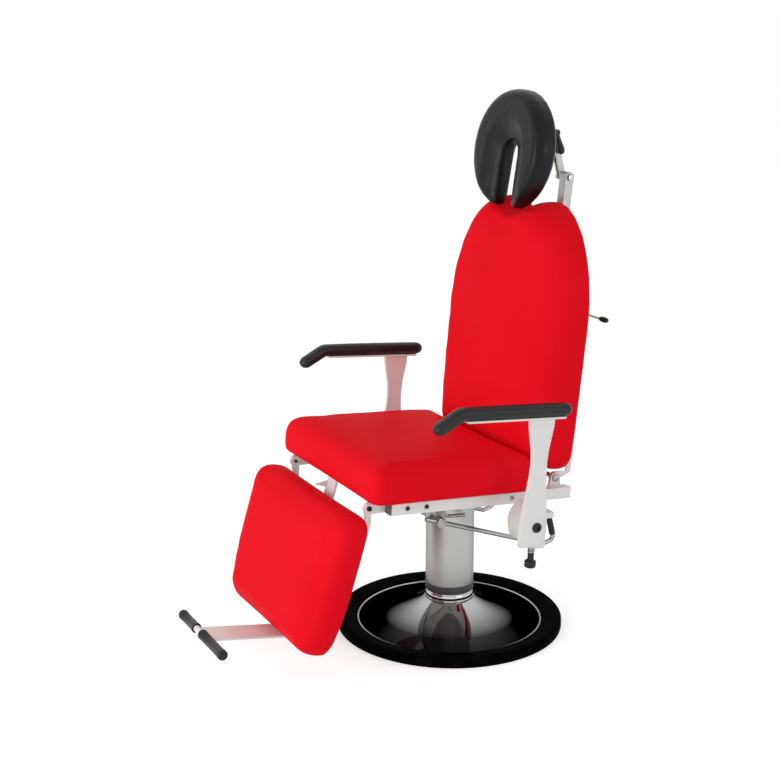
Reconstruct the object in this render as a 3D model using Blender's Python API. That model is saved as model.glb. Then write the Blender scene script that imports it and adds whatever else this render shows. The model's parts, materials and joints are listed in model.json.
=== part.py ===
# Ear, nose and throat examination chair on a pedestal base.
# Metres, +Z up. The chair faces -Y and +X is the sitter's left.
# The origin is on the column axis, on the underside of the base.

import math

import bmesh
import bpy
from mathutils import Matrix, Vector

for leftover in list(bpy.data.objects):
    bpy.data.objects.remove(leftover, do_unlink=True)

# Clearances
REST_GAP = 0.0003
RUN_GAP = 0.0004
WELD_DEPTH = 0.001
MERGE_DISTANCE = 0.00001

# Base
BASE_RADIUS = 0.300
RIM_HEIGHT = 0.027
RIM_WIDTH = 0.052
RIM_FALL = 0.006
BALLAST_HEIGHT = 0.010
DISH_WALL = 0.0025
DISH_RISE = 0.0625
NECK_MARGIN = 0.002
COLLAR_HEIGHT = 0.023
FLANGE_WIDTH = 0.026
FLANGE_HEIGHT = 0.008

# Column and lift
COLUMN_RADIUS = 0.0638
COLUMN_WALL = 0.003
BUSH_WALL = 0.0085
BUSH_HEIGHT = 0.022
GUIDE_WALL = 0.003
FOOT_RING_HEIGHT = 0.020
FOOT_RING_SPIGOT = 0.020
LIFT_TRAVEL = 0.160
CAP_THICKNESS = 0.011
CAP_SPIGOT = 0.008
SPINDLE_RADIUS = 0.016
LIFT_CYLINDER_RADIUS = 0.022
LIFT_ROD_RADIUS = 0.009

# Seat frame
FRAME_HEIGHT = 0.4336
SEAT_TILT = math.radians(3.8)
FRAME_WIDTH = 0.500
RAIL_SIZE = 0.030
RAIL_WALL = 0.002
RAIL_CORNER = 0.003
RAIL_FRONT = 0.304
RAIL_REAR = 0.209
END_CAP_THICKNESS = 0.004
END_CAP_PLUG = 0.012
CROSS_TUBE_SIZE = 0.025
CROSS_TUBE_FRONT = 0.118
CROSS_TUBE_REAR = 0.120
HUB_PLATE_WIDTH = 0.190
HUB_PLATE_THICKNESS = 0.006
HUB_BOSS_RADIUS = 0.046

# Hinges of the backrest and the legrest
LUG_THICKNESS = 0.006
ARM_THICKNESS = 0.005
EYE_RADIUS = 0.014
HINGE_BOLT_RADIUS = 0.004
HINGE_SHAFT_RADIUS = 0.006
HINGE_HEAD_RADIUS = 0.0085
HINGE_HEAD_HEIGHT = 0.005
LEG_HINGE_REACH = 0.046
BACK_HINGE_INSET = 0.030
BACK_HINGE_RISE = 0.0183

# Seat cushion
SEAT_WIDTH = 0.542
SEAT_FRONT = 0.367
SEAT_REAR = 0.092
SEAT_THICKNESS = 0.0943
SEAT_BOARD = 0.008
SEAT_BOARD_INSET = 0.030

# Backrest
BACK_TILT = math.radians(6.0)
BACK_WIDTH = 0.512
BACK_HEIGHT = 0.660
BACK_NOTCH = 0.050
BACK_LOBE = 0.085
BACK_SHOULDER = 0.280
BACK_THICKNESS = 0.118
BACK_FACE = 0.092
BACK_LIFT = 0.020
BACK_BOARD = 0.009
BACK_BOARD_INSET = 0.026
BACK_PLATE_HEIGHT = 0.240
BACK_PLATE_WIDTH = 0.014

# Headrest post, guide and clamp lever
POST_WIDTH = 0.030
POST_DEPTH = 0.024
POST_RISE = 0.064
POST_LENGTH = 0.420
POST_STANDOFF = 0.034
GUIDE_LENGTH = 0.140
GUIDE_DROP = 0.205
GUIDE_SHELL = 0.0035
GUIDE_FLANGE_WIDTH = 0.090
CLAMP_BOSS_RADIUS = 0.010
CLAMP_BOSS_LENGTH = 0.012
CLAMP_ROD_RADIUS = 0.003
CLAMP_REACH = (0.110, 0.070, -0.016)
CLAMP_BALL_RADIUS = 0.0075
CLAMP_BALL_LENGTH = 0.026
PIN_RADIUS = 0.005
PIN_HEAD_RADIUS = 0.0085
PIN_HEAD_LENGTH = 0.007

# Headrest
HEAD_ARM_LENGTH = 0.119
HEAD_ARM_LEAN = math.radians(15.5)
HEAD_ARM_WIDTH = 0.016
YOKE_WEB_LENGTH = 0.050
YOKE_WEB_THICKNESS = 0.004
EAR_THICKNESS = 0.008
HEAD_TILT = math.radians(9.0)
HEAD_WIDTH = 0.306
HEAD_HEIGHT = 0.300
HEAD_THICKNESS = 0.0615
HEAD_SETBACK = 0.0920
HEAD_DROP = 0.0580
HEAD_SLOT_WIDTH = 0.076
HEAD_SLOT_TOP = 0.0275
HEAD_SLOT_BEVEL = 0.051
HEAD_SLOT_FLARE = 0.003
HEAD_END_ROUND = 0.012
HEAD_PLATE_WIDTH = 0.110
HEAD_PLATE_HEIGHT = 0.070
HEAD_PLATE_THICKNESS = 0.004
HANDLE_LEAN = math.radians(27.0)
HANDLE_LENGTH = 0.058
HANDLE_ROOT_RADIUS = 0.006
HANDLE_TIP_RADIUS = 0.010

# Legrest and footrest
LEG_TILT = math.radians(17.0)
LEG_WIDTH = 0.532
LEG_LENGTH = 0.360
LEG_DROP = 0.019
LEG_THICKNESS = 0.082
LEG_FOOT_TAPER = 0.040
LEG_BOARD = 0.008
LEG_BOARD_INSET = 0.030
LEG_ARM_WIDTH = 0.016
LEG_ARM_LENGTH = 0.120
LEG_CROSSBAR_WIDTH = 0.040
SPINE_WIDTH = 0.048
SPINE_THICKNESS = 0.006
STEM_WIDTH = 0.082
STEM_THICKNESS = 0.006
STEM_BEND_DROP = 0.010
STEM_INSERT = 0.190
STEM_REACH = 0.2475
STEM_RISE = math.radians(8.9)
FOOT_GUIDE_LENGTH = 0.080
FOOT_GUIDE_WALL = 0.003
FOOT_BAR_LENGTH = 0.286
FOOT_BAR_RADIUS = 0.0085
SLEEVE_RADIUS = 0.013
SLEEVE_GAP = 0.040
SLEEVE_GAP_SHIFT = -0.020

# Armrests
ARM_POST_THICKNESS = 0.010
ARM_POST_WIDTH = 0.071
ARM_POST_WAIST = 0.042
ARM_POST_RAKE = 0.014
ARM_POST_BELOW = 0.048
ARM_POST_ABOVE = 0.275
ARM_LEAN = math.radians(2.2)
ARM_PIVOT_Y = 0.0263
ARM_PIVOT_DROP = 0.0503
ARM_PAD_WIDTH = 0.036
ARM_PAD_HEIGHT = 0.030
ARM_PAD_REAR = 0.067
ARM_PAD_FRONT = 0.224
ARM_PAD_NOSE = 0.066
ARM_PAD_DROOP = math.radians(32.0)
ARM_PAD_TILT = math.radians(2.5)
ARM_STRIP_THICKNESS = 0.005
PIVOT_CAP_RADIUS = 0.0125
PIVOT_CAP_HEIGHT = 0.006
BRACKET_LENGTH = 0.1154
BRACKET_WALL = 0.004
BRACKET_WIDTH = 0.058
BRACKET_HEIGHT = 0.0893
BRACKET_NOSE = 0.026
BRACKET_DROP = 0.0590
BRACKET_LEAD = 0.002
BRACKET_NOTCH = 0.020
BRACKET_TAB = 0.014
PLUNGER_OFFSET = 0.0407
PLUNGER_SETBACK = 0.0255
PLUNGER_PIN_RADIUS = 0.004
PLUNGER_NECK_RADIUS = 0.008
PLUNGER_KNOB_RADIUS = 0.0145
PLUNGER_NECK_LENGTH = 0.020
PLUNGER_KNOB_LENGTH = 0.018
BARREL_RADIUS = 0.010
BARREL_LENGTH = 0.0245

# Release lever and swivel lock lever
LEVER_SHAFT_Y = -0.110
LEVER_SHAFT_DROP = 0.0941
LEVER_SHAFT_RADIUS = 0.007
LEVER_SPREAD = 0.150
LEVER_COLLAR_RADIUS = 0.0135
LEVER_COLLAR_LENGTH = 0.024
LEVER_ROD_RADIUS = 0.0058
LEVER_SLOPE = math.radians(15.9)
LEVER_STUB = 0.044
LEVER_REACH = 0.330
LEVER_HEEL = 0.034
LEVER_UPTURN = 0.057
LEVER_BEND_RADIUS = 0.012
GRIP_WALL = 0.0025
GRIP_LENGTH = 0.055
HANGER_THICKNESS = 0.006
HANGER_WIDTH = 0.022
HANGER_EYE_WALL = 0.006
HANGER_SPREAD = 0.105
LOCK_LEVER_PLACE = (0.088, -0.068)
LOCK_LEVER_DROP = 0.066
LOCK_LEVER_LENGTH = 0.060
LOCK_LEVER_RADIUS = 0.0045

# Facets
RIM_FACETS = 48
TUBE_FACETS = 28
ROD_FACETS = 12

# Finishes: colour, roughness, metallic
FINISHES = {
    "white_paint": ((0.86, 0.86, 0.85), 0.35, 0.0),
    "red_leatherette": ((0.82, 0.012, 0.022), 0.45, 0.0),
    "black_dish": ((0.010, 0.010, 0.011), 0.08, 0.3),
    "black_rubber": ((0.015, 0.015, 0.016), 0.45, 0.0),
    "black_leatherette": ((0.022, 0.022, 0.024), 0.5, 0.0),
    "dark_plastic": ((0.07, 0.07, 0.075), 0.4, 0.0),
    "chrome": ((0.80, 0.80, 0.81), 0.08, 1.0),
    "satin_metal": ((0.56, 0.57, 0.57), 0.32, 1.0),
    "plain_steel": ((0.40, 0.40, 0.41), 0.4, 1.0),
    "birch_ply": ((0.62, 0.47, 0.30), 0.6, 0.0),
}


# Frames, nodes and materials

def finish_material(name, finish):
    colour, roughness, metallic = FINISHES[finish]
    made = bpy.data.materials.new(name + "_finish")
    made.use_nodes = True
    made.diffuse_color = (*colour, 1.0)
    shader = made.node_tree.nodes["Principled BSDF"]
    shader.inputs["Base Color"].default_value = (*colour, 1.0)
    shader.inputs["Roughness"].default_value = roughness
    shader.inputs["Metallic"].default_value = metallic
    return made


def joint_frame(name, parent, place, tilt=0.0):
    frame = bpy.data.objects.new(name, None)
    bpy.context.scene.collection.objects.link(frame)
    frame.parent = parent
    frame.location = place
    frame.rotation_euler = (tilt, 0.0, 0.0)
    return frame


def add_object(name, bm, frame):
    bmesh.ops.remove_doubles(bm, verts=bm.verts, dist=MERGE_DISTANCE)
    bmesh.ops.recalc_face_normals(bm, faces=bm.faces)
    mesh = bpy.data.meshes.new(name)
    bm.to_mesh(mesh)
    bm.free()
    made = bpy.data.objects.new(name, mesh)
    bpy.context.scene.collection.objects.link(made)
    made.parent = frame
    return made


def node(name, bm, frame, finish, sharp_degrees=35.0):
    made = add_object(name, bm, frame)
    made.data.materials.append(finish_material(name, finish))
    made.data.shade_smooth()
    made.data.set_sharp_from_angle(angle=math.radians(sharp_degrees))
    return made


def tool(name, bm, frame):
    made = add_object(name, bm, frame)
    made.hide_render = True
    made.display_type = "WIRE"
    return made


def combine(target, other, operation):
    step = target.modifiers.new(operation.lower(), "BOOLEAN")
    step.operation = operation
    step.solver = "EXACT"
    step.object = other


# Outlines, as lists of points in a plane

def arc(centre, radius, start, end, steps):
    span = end - start
    turns = [start + span * i / steps for i in range(steps + 1)]
    return [(centre[0] + radius * math.cos(a), centre[1] + radius * math.sin(a)) for a in turns]


def circle(radius, facets, centre=(0.0, 0.0)):
    return arc(centre, radius, 0.0, 2 * math.pi, facets)[:-1]


def rounded_box(low, high, corner, steps):
    quarter = math.pi / 2
    centres = [
        (high[0] - corner, high[1] - corner),
        (low[0] + corner, high[1] - corner),
        (low[0] + corner, low[1] + corner),
        (high[0] - corner, low[1] + corner),
    ]
    points = []
    for turn, centre in enumerate(centres):
        points += arc(centre, corner, turn * quarter, (turn + 1) * quarter, steps)
    return points


def inset(points, distance):
    # Moves each point of a counter-clockwise outline inwards along its own normal.
    moved = []
    count = len(points)
    for i, point in enumerate(points):
        before = Vector(points[i - 1])
        after = Vector(points[(i + 1) % count])
        along = (after - before).normalized()
        moved.append((point[0] - along.y * distance, point[1] + along.x * distance))
    return moved


def fillet_path(points, radius, steps):
    # Rounds the inner corners of an open path of 3-D points.
    path = [Vector(points[0])]
    for before, corner, after in zip(points, points[1:], points[2:]):
        corner = Vector(corner)
        back = (Vector(before) - corner).normalized()
        ahead = (Vector(after) - corner).normalized()
        half = back.angle(ahead) / 2
        reach = radius / math.tan(half)
        start = corner + back * reach
        end = corner + ahead * reach
        centre = corner + (back + ahead).normalized() * (radius / math.sin(half))
        axis = (start - centre).cross(end - centre)
        span = (start - centre).angle(end - centre)
        for i in range(steps + 1):
            path.append(centre + Matrix.Rotation(span * i / steps, 3, axis) @ (start - centre))
    path.append(Vector(points[-1]))
    return path


# Solids, added to a bmesh

def newer(bm, older):
    return [vert for vert in bm.verts if vert not in older]


def shift(bm, older, matrix):
    bmesh.ops.transform(bm, matrix=matrix, verts=newer(bm, older))


def revolve(bm, profile, facets, matrix=Matrix()):
    # Turns a closed profile of (radius, height) points about the Z axis.
    older = set(bm.verts)
    verts = [bm.verts.new((radius, 0.0, height)) for radius, height in profile]
    edges = [bm.edges.new((verts[i - 1], verts[i])) for i in range(len(verts))]
    bmesh.ops.spin(bm, geom=verts + edges, cent=(0, 0, 0), axis=(0, 0, 1),
                   angle=2 * math.pi, steps=facets, use_merge=True)
    bmesh.ops.remove_doubles(bm, verts=newer(bm, older), dist=MERGE_DISTANCE)
    shift(bm, older, matrix)


def solid_round(bm, profile, facets, matrix=Matrix()):
    # As revolve, for an open profile that starts and ends on the axis.
    older = set(bm.verts)
    verts = [bm.verts.new((radius, 0.0, height)) for radius, height in profile]
    edges = [bm.edges.new(pair) for pair in zip(verts, verts[1:])]
    bmesh.ops.spin(bm, geom=verts + edges, cent=(0, 0, 0), axis=(0, 0, 1),
                   angle=2 * math.pi, steps=facets, use_merge=True)
    bmesh.ops.remove_doubles(bm, verts=newer(bm, older), dist=MERGE_DISTANCE)
    shift(bm, older, matrix)


def cylinder(bm, radius, low, high, facets, matrix=Matrix()):
    middle = Matrix.Translation((0.0, 0.0, (low + high) / 2))
    bmesh.ops.create_cone(bm, cap_ends=True, segments=facets, radius1=radius, radius2=radius,
                          depth=high - low, matrix=matrix @ middle)


def box(bm, low, high):
    size = [b - a for a, b in zip(low, high)]
    middle = [(a + b) / 2 for a, b in zip(low, high)]
    matrix = Matrix.Translation(middle) @ Matrix.Diagonal((*size, 1.0))
    bmesh.ops.create_cube(bm, size=1.0, matrix=matrix)


def plate(bm, outline, holes, low, high, matrix=Matrix()):
    # Extrudes an outline with holes from one height to another.
    older = set(bm.verts)
    edges = []
    for loop in [outline, *holes]:
        verts = [bm.verts.new((x, y, low)) for x, y in loop]
        edges += [bm.edges.new((verts[i - 1], verts[i])) for i in range(len(verts))]
    filled = bmesh.ops.triangle_fill(bm, edges=edges, use_beauty=True, use_dissolve=False)
    faces = [part for part in filled["geom"] if isinstance(part, bmesh.types.BMFace)]
    grown = bmesh.ops.extrude_face_region(bm, geom=faces, use_keep_orig=True)
    tops = [part for part in grown["geom"] if isinstance(part, bmesh.types.BMVert)]
    bmesh.ops.translate(bm, verts=tops, vec=(0.0, 0.0, high - low))
    shift(bm, older, matrix)


def loft(bm, rings, cap_start=True, cap_end=True):
    # Skins rings that have the same number of points.
    skins = [[bm.verts.new(point) for point in ring] for ring in rings]
    for lower, upper in zip(skins, skins[1:]):
        for i in range(len(lower)):
            bm.faces.new((lower[i - 1], lower[i], upper[i], upper[i - 1]))
    if cap_start:
        bm.faces.new(skins[0])
    if cap_end:
        bm.faces.new(skins[-1])
    return skins


def swept(bm, path, radius, facets):
    # Sweeps a circle along a path that stays in one YZ plane.
    rings = []
    for i, point in enumerate(path):
        ahead = path[min(i + 1, len(path) - 1)]
        behind = path[max(i - 1, 0)]
        along = (ahead - behind).normalized()
        side = Vector((1.0, 0.0, 0.0))
        up = side.cross(along)
        rings.append([point + side * x + up * y for x, y in circle(radius, facets)])
    loft(bm, rings)


# Matrices that turn a plate drawn in XY into another plane

ALONG_X = Matrix(((0, 0, 1, 0), (1, 0, 0, 0), (0, 1, 0, 0), (0, 0, 0, 1)))
ALONG_Y = Matrix(((1, 0, 0, 0), (0, 0, 1, 0), (0, 1, 0, 0), (0, 0, 0, 1)))
FACING_FRONT = Matrix(((1, 0, 0, 0), (0, 0, -1, 0), (0, 1, 0, 0), (0, 0, 0, 1)))


# Cushions: levels are (height, inset) pairs from the flat back to the rolled edge,
# and the crown rises from the last level to the middle.

def cushion(bm, outline_at, levels, crown, place):
    rings = []
    for height, distance in levels:
        rings.append([place(x, y, height) for x, y in outline_at(distance)])
    height, distance = levels[-1]
    edge = outline_at(distance)
    middle_x = (max(x for x, _ in edge) + min(x for x, _ in edge)) / 2
    middle_y = (max(y for _, y in edge) + min(y for _, y in edge)) / 2
    for share, rise in ((0.72, 0.62), (0.36, 0.93)):
        rings.append([place(middle_x + (x - middle_x) * share, middle_y + (y - middle_y) * share,
                            height + crown * rise) for x, y in edge])
    skins = loft(bm, rings, cap_end=False)
    peak = bm.verts.new(place(middle_x, middle_y, height + crown))
    last = skins[-1]
    for i in range(len(last)):
        bm.faces.new((last[i - 1], last[i], peak))


def drawn_in(points, depth, half_width, half_length, middle_y):
    # Pulls the sides of an outline in between its corners.
    pulled = []
    for x, y in points:
        across = x / half_width
        along = (y - middle_y) / half_length
        side = depth * (1 - along * along) * abs(across) ** 3
        end = depth * (1 - across * across) * abs(along) ** 3
        pulled.append((x - math.copysign(max(side, 0.0), x),
                       y - math.copysign(max(end, 0.0), along)))
    return pulled


def side_points(points, per_side):
    # Adds points along the long straight runs of an outline.
    dense = []
    count = len(points)
    for i, point in enumerate(points):
        following = points[(i + 1) % count]
        span = math.dist(point, following)
        pieces = per_side + 1 if span > 0.1 else 1
        for k in range(pieces):
            t = k / pieces
            dense.append((point[0] + (following[0] - point[0]) * t,
                          point[1] + (following[1] - point[1]) * t))
    return dense


# Frames of the moving bodies

def seat_point(y, z):
    return Vector((0.0, y, z))


floor_frame = joint_frame("floor_frame", None, (0, 0, 0))
lift_frame = joint_frame("lift_frame", floor_frame, (0, 0, 0))
swivel_frame = joint_frame("swivel_frame", lift_frame, (0, 0, 0))
seat_frame = joint_frame("seat_frame", swivel_frame, (0, 0, FRAME_HEIGHT), -SEAT_TILT)

leg_hinge = seat_point(-RAIL_FRONT - LEG_HINGE_REACH, -RAIL_SIZE / 2)
back_hinge = seat_point(RAIL_REAR - BACK_HINGE_INSET, BACK_HINGE_RISE)
lever_axis = seat_point(LEVER_SHAFT_Y, -LEVER_SHAFT_DROP)
arm_pivot = seat_point(ARM_PIVOT_Y, -ARM_PIVOT_DROP)

leg_frame = joint_frame("leg_frame", seat_frame, leg_hinge, SEAT_TILT - LEG_TILT)
back_frame = joint_frame("back_frame", seat_frame, back_hinge, SEAT_TILT - BACK_TILT)
lever_frame = joint_frame("lever_frame", seat_frame, lever_axis, -LEVER_SLOPE)


# Base

dish_edge = BASE_RADIUS - RIM_WIDTH - REST_GAP
dish_floor = BALLAST_HEIGHT + REST_GAP + DISH_WALL
dish_top = dish_floor + DISH_RISE
neck_radius = COLUMN_RADIUS + NECK_MARGIN
guide_radius = COLUMN_RADIUS - COLUMN_WALL - BUSH_WALL - RUN_GAP
collar_low = dish_top + REST_GAP
collar_high = collar_low + COLLAR_HEIGHT
foot_low = collar_high + REST_GAP
column_low = foot_low + FOOT_RING_HEIGHT
hub_face = FRAME_HEIGHT - RAIL_SIZE - HUB_PLATE_THICKNESS - HUB_PLATE_WIDTH / 2 * math.tan(SEAT_TILT)
cap_high = hub_face - 0.012
cap_low = cap_high - CAP_THICKNESS
column_high = cap_low - REST_GAP
guide_high = column_high - CAP_SPIGOT - 0.008
cylinder_high = guide_high - 0.030


def build_base():
    bm = bmesh.new()
    edge = 0.002
    plate_radius = dish_edge - 0.004
    solid_round(bm, [(0, BALLAST_HEIGHT), (plate_radius - edge, BALLAST_HEIGHT),
                     (plate_radius, BALLAST_HEIGHT - edge), (plate_radius, 0), (0, 0)], RIM_FACETS)
    node("base_plate", bm, floor_frame, "plain_steel")

    bm = bmesh.new()
    inner = BASE_RADIUS - RIM_WIDTH
    round_off = 0.006
    profile = [(inner, 0.0), (BASE_RADIUS - 0.003, 0.0), (BASE_RADIUS, 0.003)]
    profile += arc((BASE_RADIUS - round_off, RIM_HEIGHT - round_off), round_off, 0.0, math.pi / 2, 3)
    profile += [(inner + RIM_WIDTH * 0.5, RIM_HEIGHT - 0.001), (inner, RIM_HEIGHT - RIM_FALL)]
    revolve(bm, profile, RIM_FACETS)
    node("base_trim_ring", bm, floor_frame, "black_rubber")

    # The dish runs level inside the rim, then flares up to its neck like a trumpet.
    bm = bmesh.new()
    start = Vector((dish_edge - 0.012, dish_floor))
    pull = Vector((dish_edge * 0.50, dish_floor + DISH_RISE * 0.24))
    end = Vector((neck_radius, dish_top))
    flare = []
    for i in range(7):
        t = i / 6
        flare.append(start * (1 - t) ** 2 + pull * 2 * t * (1 - t) + end * t ** 2)
    bore = guide_radius + RUN_GAP
    upper = [(dish_edge, dish_floor)] + [(p.x, p.y) for p in flare] + [(bore, dish_top)]
    lower = [(bore, dish_top - DISH_WALL)] + [(p.x, p.y - DISH_WALL) for p in reversed(flare)]
    lower += [(dish_edge, dish_floor - DISH_WALL)]
    revolve(bm, upper + lower, RIM_FACETS)
    node("base_dish", bm, floor_frame, "black_dish")

    bm = bmesh.new()
    collar_radius = COLUMN_RADIUS - 0.001
    swell = 0.0015
    revolve(bm, [(bore, collar_low), (collar_radius, collar_low),
                 (collar_radius + swell, collar_low + 0.3 * COLLAR_HEIGHT),
                 (collar_radius + swell, collar_low + 0.7 * COLLAR_HEIGHT),
                 (collar_radius, collar_high), (bore, collar_high)], TUBE_FACETS)
    node("base_collar", bm, floor_frame, "chrome")

    bm = bmesh.new()
    low = BALLAST_HEIGHT + REST_GAP
    inner = guide_radius - GUIDE_WALL
    revolve(bm, [(inner, low), (guide_radius + FLANGE_WIDTH, low),
                 (guide_radius + FLANGE_WIDTH, low + FLANGE_HEIGHT),
                 (guide_radius, low + FLANGE_HEIGHT), (guide_radius, guide_high),
                 (inner, guide_high)], TUBE_FACETS)
    node("guide_tube", bm, floor_frame, "satin_metal")

    bm = bmesh.new()
    bush_high = guide_high - 0.002
    revolve(bm, [(guide_radius + REST_GAP, bush_high - BUSH_HEIGHT),
                 (COLUMN_RADIUS - COLUMN_WALL - RUN_GAP, bush_high - BUSH_HEIGHT),
                 (COLUMN_RADIUS - COLUMN_WALL - RUN_GAP, bush_high),
                 (guide_radius + REST_GAP, bush_high)], TUBE_FACETS)
    node("guide_bush", bm, floor_frame, "dark_plastic")

    # The lift cylinder is open at its top, where the rod comes out.
    bm = bmesh.new()
    bore = LIFT_ROD_RADIUS + RUN_GAP
    depth = cylinder_high - LIFT_TRAVEL - 0.060
    solid_round(bm, [(0, depth), (bore, depth), (bore, cylinder_high),
                     (LIFT_CYLINDER_RADIUS, cylinder_high), (LIFT_CYLINDER_RADIUS, low), (0, low)], 16)
    node("gas_lift_cylinder", bm, floor_frame, "dark_plastic")
    return depth


# Column

def build_column(bore_depth):
    bm = bmesh.new()
    inner = COLUMN_RADIUS - COLUMN_WALL
    revolve(bm, [(inner, column_low), (COLUMN_RADIUS, column_low),
                 (COLUMN_RADIUS, column_high), (inner, column_high)], 40)
    node("column_tube", bm, lift_frame, "satin_metal")

    bm = bmesh.new()
    bore = guide_radius + RUN_GAP
    outer = COLUMN_RADIUS + 0.0008
    spigot = inner - REST_GAP
    ring_top = column_low - REST_GAP
    revolve(bm, [(bore, foot_low), (outer - 0.002, foot_low), (outer, foot_low + 0.002),
                 (outer, ring_top), (spigot, ring_top), (spigot, ring_top + FOOT_RING_SPIGOT),
                 (bore, ring_top + FOOT_RING_SPIGOT)], 40)
    node("column_foot_ring", bm, lift_frame, "dark_plastic")

    bm = bmesh.new()
    spindle_high = hub_face + HUB_PLATE_THICKNESS
    solid_round(bm, [(0, spindle_high), (SPINDLE_RADIUS, spindle_high), (SPINDLE_RADIUS, cap_high),
                     (COLUMN_RADIUS - 0.002, cap_high), (COLUMN_RADIUS, cap_high - 0.002),
                     (COLUMN_RADIUS, cap_low), (spigot, cap_low), (spigot, cap_low - CAP_SPIGOT),
                     (0, cap_low - CAP_SPIGOT)], TUBE_FACETS)
    node("column_cap", bm, lift_frame, "chrome")

    bm = bmesh.new()
    cylinder(bm, LIFT_ROD_RADIUS, bore_depth + 0.006, cap_low - CAP_SPIGOT - REST_GAP, 16)
    node("gas_lift_rod", bm, lift_frame, "chrome")


# Seat frame

rail_outer = FRAME_WIDTH / 2
rail_inner = rail_outer - RAIL_SIZE
lug_outer = rail_inner + WELD_DEPTH
lug_inner = rail_inner - LUG_THICKNESS
swing_outer = lug_inner - REST_GAP
swing_inner = swing_outer - ARM_THICKNESS
SIDES = (("left", 1.0), ("right", -1.0))
HALF_TURN = Matrix.Diagonal((-1.0, 1.0, 1.0, 1.0))


def mirrored(side):
    return Matrix() if side > 0 else HALF_TURN


def square_tube(bm, size, wall, corner, low, high, matrix):
    half = size / 2
    outer = rounded_box((-half, -half), (half, half), corner, 2)
    hollow = half - wall
    inner = rounded_box((-hollow, -hollow), (hollow, hollow), max(corner - wall, 0.0005), 2)
    plate(bm, outer, [inner], low, high, matrix)


def eye_outline(eye, root_a, root_b, radius):
    # A plate that runs from two root points to a round eye at the hinge.
    to_root = (Vector(root_a) + Vector(root_b)) / 2 - Vector(eye)
    back = math.atan2(to_root.y, to_root.x)
    if to_root.cross(Vector(root_a) - Vector(root_b)) < 0:
        root_a, root_b = root_b, root_a
    nose = arc(eye, radius, back + math.pi / 2, back + 3 * math.pi / 2, 6)
    return [root_a] + nose + [root_b]


def moved(points, place):
    return [(x + place[0], y + place[1]) for x, y in points]


def build_rails():
    half = RAIL_SIZE / 2
    for label, side in SIDES:
        bm = bmesh.new()
        centre = Matrix.Translation((side * (rail_outer - half), 0, -half))
        square_tube(bm, RAIL_SIZE, RAIL_WALL, RAIL_CORNER, -RAIL_FRONT, RAIL_REAR, centre @ ALONG_Y)
        rail = node("rail_" + label, bm, seat_frame, "white_paint")
        bm = bmesh.new()
        inner = half - RAIL_WALL / 2
        end = RAIL_REAR - RAIL_WALL
        box(bm, (-inner, end, -inner), (inner, RAIL_REAR - WELD_DEPTH / 2, inner))
        shift(bm, (), centre)
        combine(rail, tool("rail_end_shape_" + label, bm, seat_frame), "UNION")
        bm = bmesh.new()
        add_lugs(bm, mirrored(side))
        combine(rail, tool("hinge_lug_shape_" + label, bm, seat_frame), "UNION")

        # The cap covers the front end of its rail and plugs into it.
        bm = bmesh.new()
        plug = half - RAIL_WALL - REST_GAP
        rings = []
        face = half - WELD_DEPTH - REST_GAP
        for size, depth in ((face - 0.001, END_CAP_THICKNESS), (face, END_CAP_THICKNESS - 0.001),
                            (face, REST_GAP), (plug, REST_GAP), (plug - 0.001, -END_CAP_PLUG)):
            corners = rounded_box((-size, -size), (size, size), RAIL_CORNER * 0.5, 1)
            rings.append([(x, -RAIL_FRONT - depth, z) for x, z in corners])
        loft(bm, rings)
        shift(bm, (), centre)
        node("rail_end_cap_" + label, bm, seat_frame, "dark_plastic")

    reach = rail_inner - REST_GAP
    for label, place in (("front", -CROSS_TUBE_FRONT), ("rear", CROSS_TUBE_REAR)):
        bm = bmesh.new()
        centre = Matrix.Translation((0, place, -RAIL_SIZE + CROSS_TUBE_SIZE / 2))
        square_tube(bm, CROSS_TUBE_SIZE, RAIL_WALL, RAIL_CORNER, -reach, reach, centre @ ALONG_X)
        tube = node("cross_tube_" + label, bm, seat_frame, "white_paint")
        if label == "front":
            bm = bmesh.new()
            add_hangers(bm)
            combine(tube, tool("lever_hanger_shape", bm, seat_frame), "UNION")


def add_lugs(bm, flip):
    # The legrest's lug runs forward from the rail, and the backrest's stands up from it.
    eye = (leg_hinge.y, leg_hinge.z)
    tail = -RAIL_FRONT + 0.060
    outline = eye_outline(eye, (tail, eye[1] + 0.011), (tail, eye[1] - 0.011), EYE_RADIUS)
    hole = moved(circle(HINGE_BOLT_RADIUS + RUN_GAP, 10), eye)
    plate(bm, outline, [hole], lug_inner, lug_outer, flip @ ALONG_X)
    eye = (back_hinge.y, back_hinge.z)
    foot = -RAIL_SIZE + 0.004
    outline = eye_outline(eye, (eye[0] - 0.022, foot), (eye[0] + 0.022, foot), EYE_RADIUS)
    hole = moved(circle(HINGE_SHAFT_RADIUS + RUN_GAP, ROD_FACETS), eye)
    plate(bm, outline, [hole], lug_inner, lug_outer, flip @ ALONG_X)


def add_hangers(bm):
    # Two hangers reach down from the front cross tube and carry the lever shaft.
    eye = (lever_axis.y, lever_axis.z)
    hole = moved(circle(LEVER_SHAFT_RADIUS + RUN_GAP, ROD_FACETS), eye)
    half = HANGER_WIDTH / 2
    top = -RAIL_SIZE + WELD_DEPTH
    foot = -CROSS_TUBE_FRONT
    radius = LEVER_SHAFT_RADIUS + HANGER_EYE_WALL
    outline = eye_outline(eye, (foot + half, top), (foot - half, top), radius)
    for _, side in SIDES:
        start = side * HANGER_SPREAD - HANGER_THICKNESS / 2
        plate(bm, outline, [hole], start, start + HANGER_THICKNESS, ALONG_X)


def headed_pin(bm, radius, head_radius, head_low, head_length, place):
    # A pin along X with a rounded head at each end.
    head_high = head_low + head_length
    half = [(0, head_high), (head_radius * 0.8, head_high), (head_radius, head_high - 0.001),
            (head_radius, head_low), (radius, head_low)]
    other = [(out, -along) for out, along in reversed(half)]
    across = Matrix.Translation(place) @ Matrix.Rotation(math.pi / 2, 4, "Y")
    solid_round(bm, half + other, ROD_FACETS, across)


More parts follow.
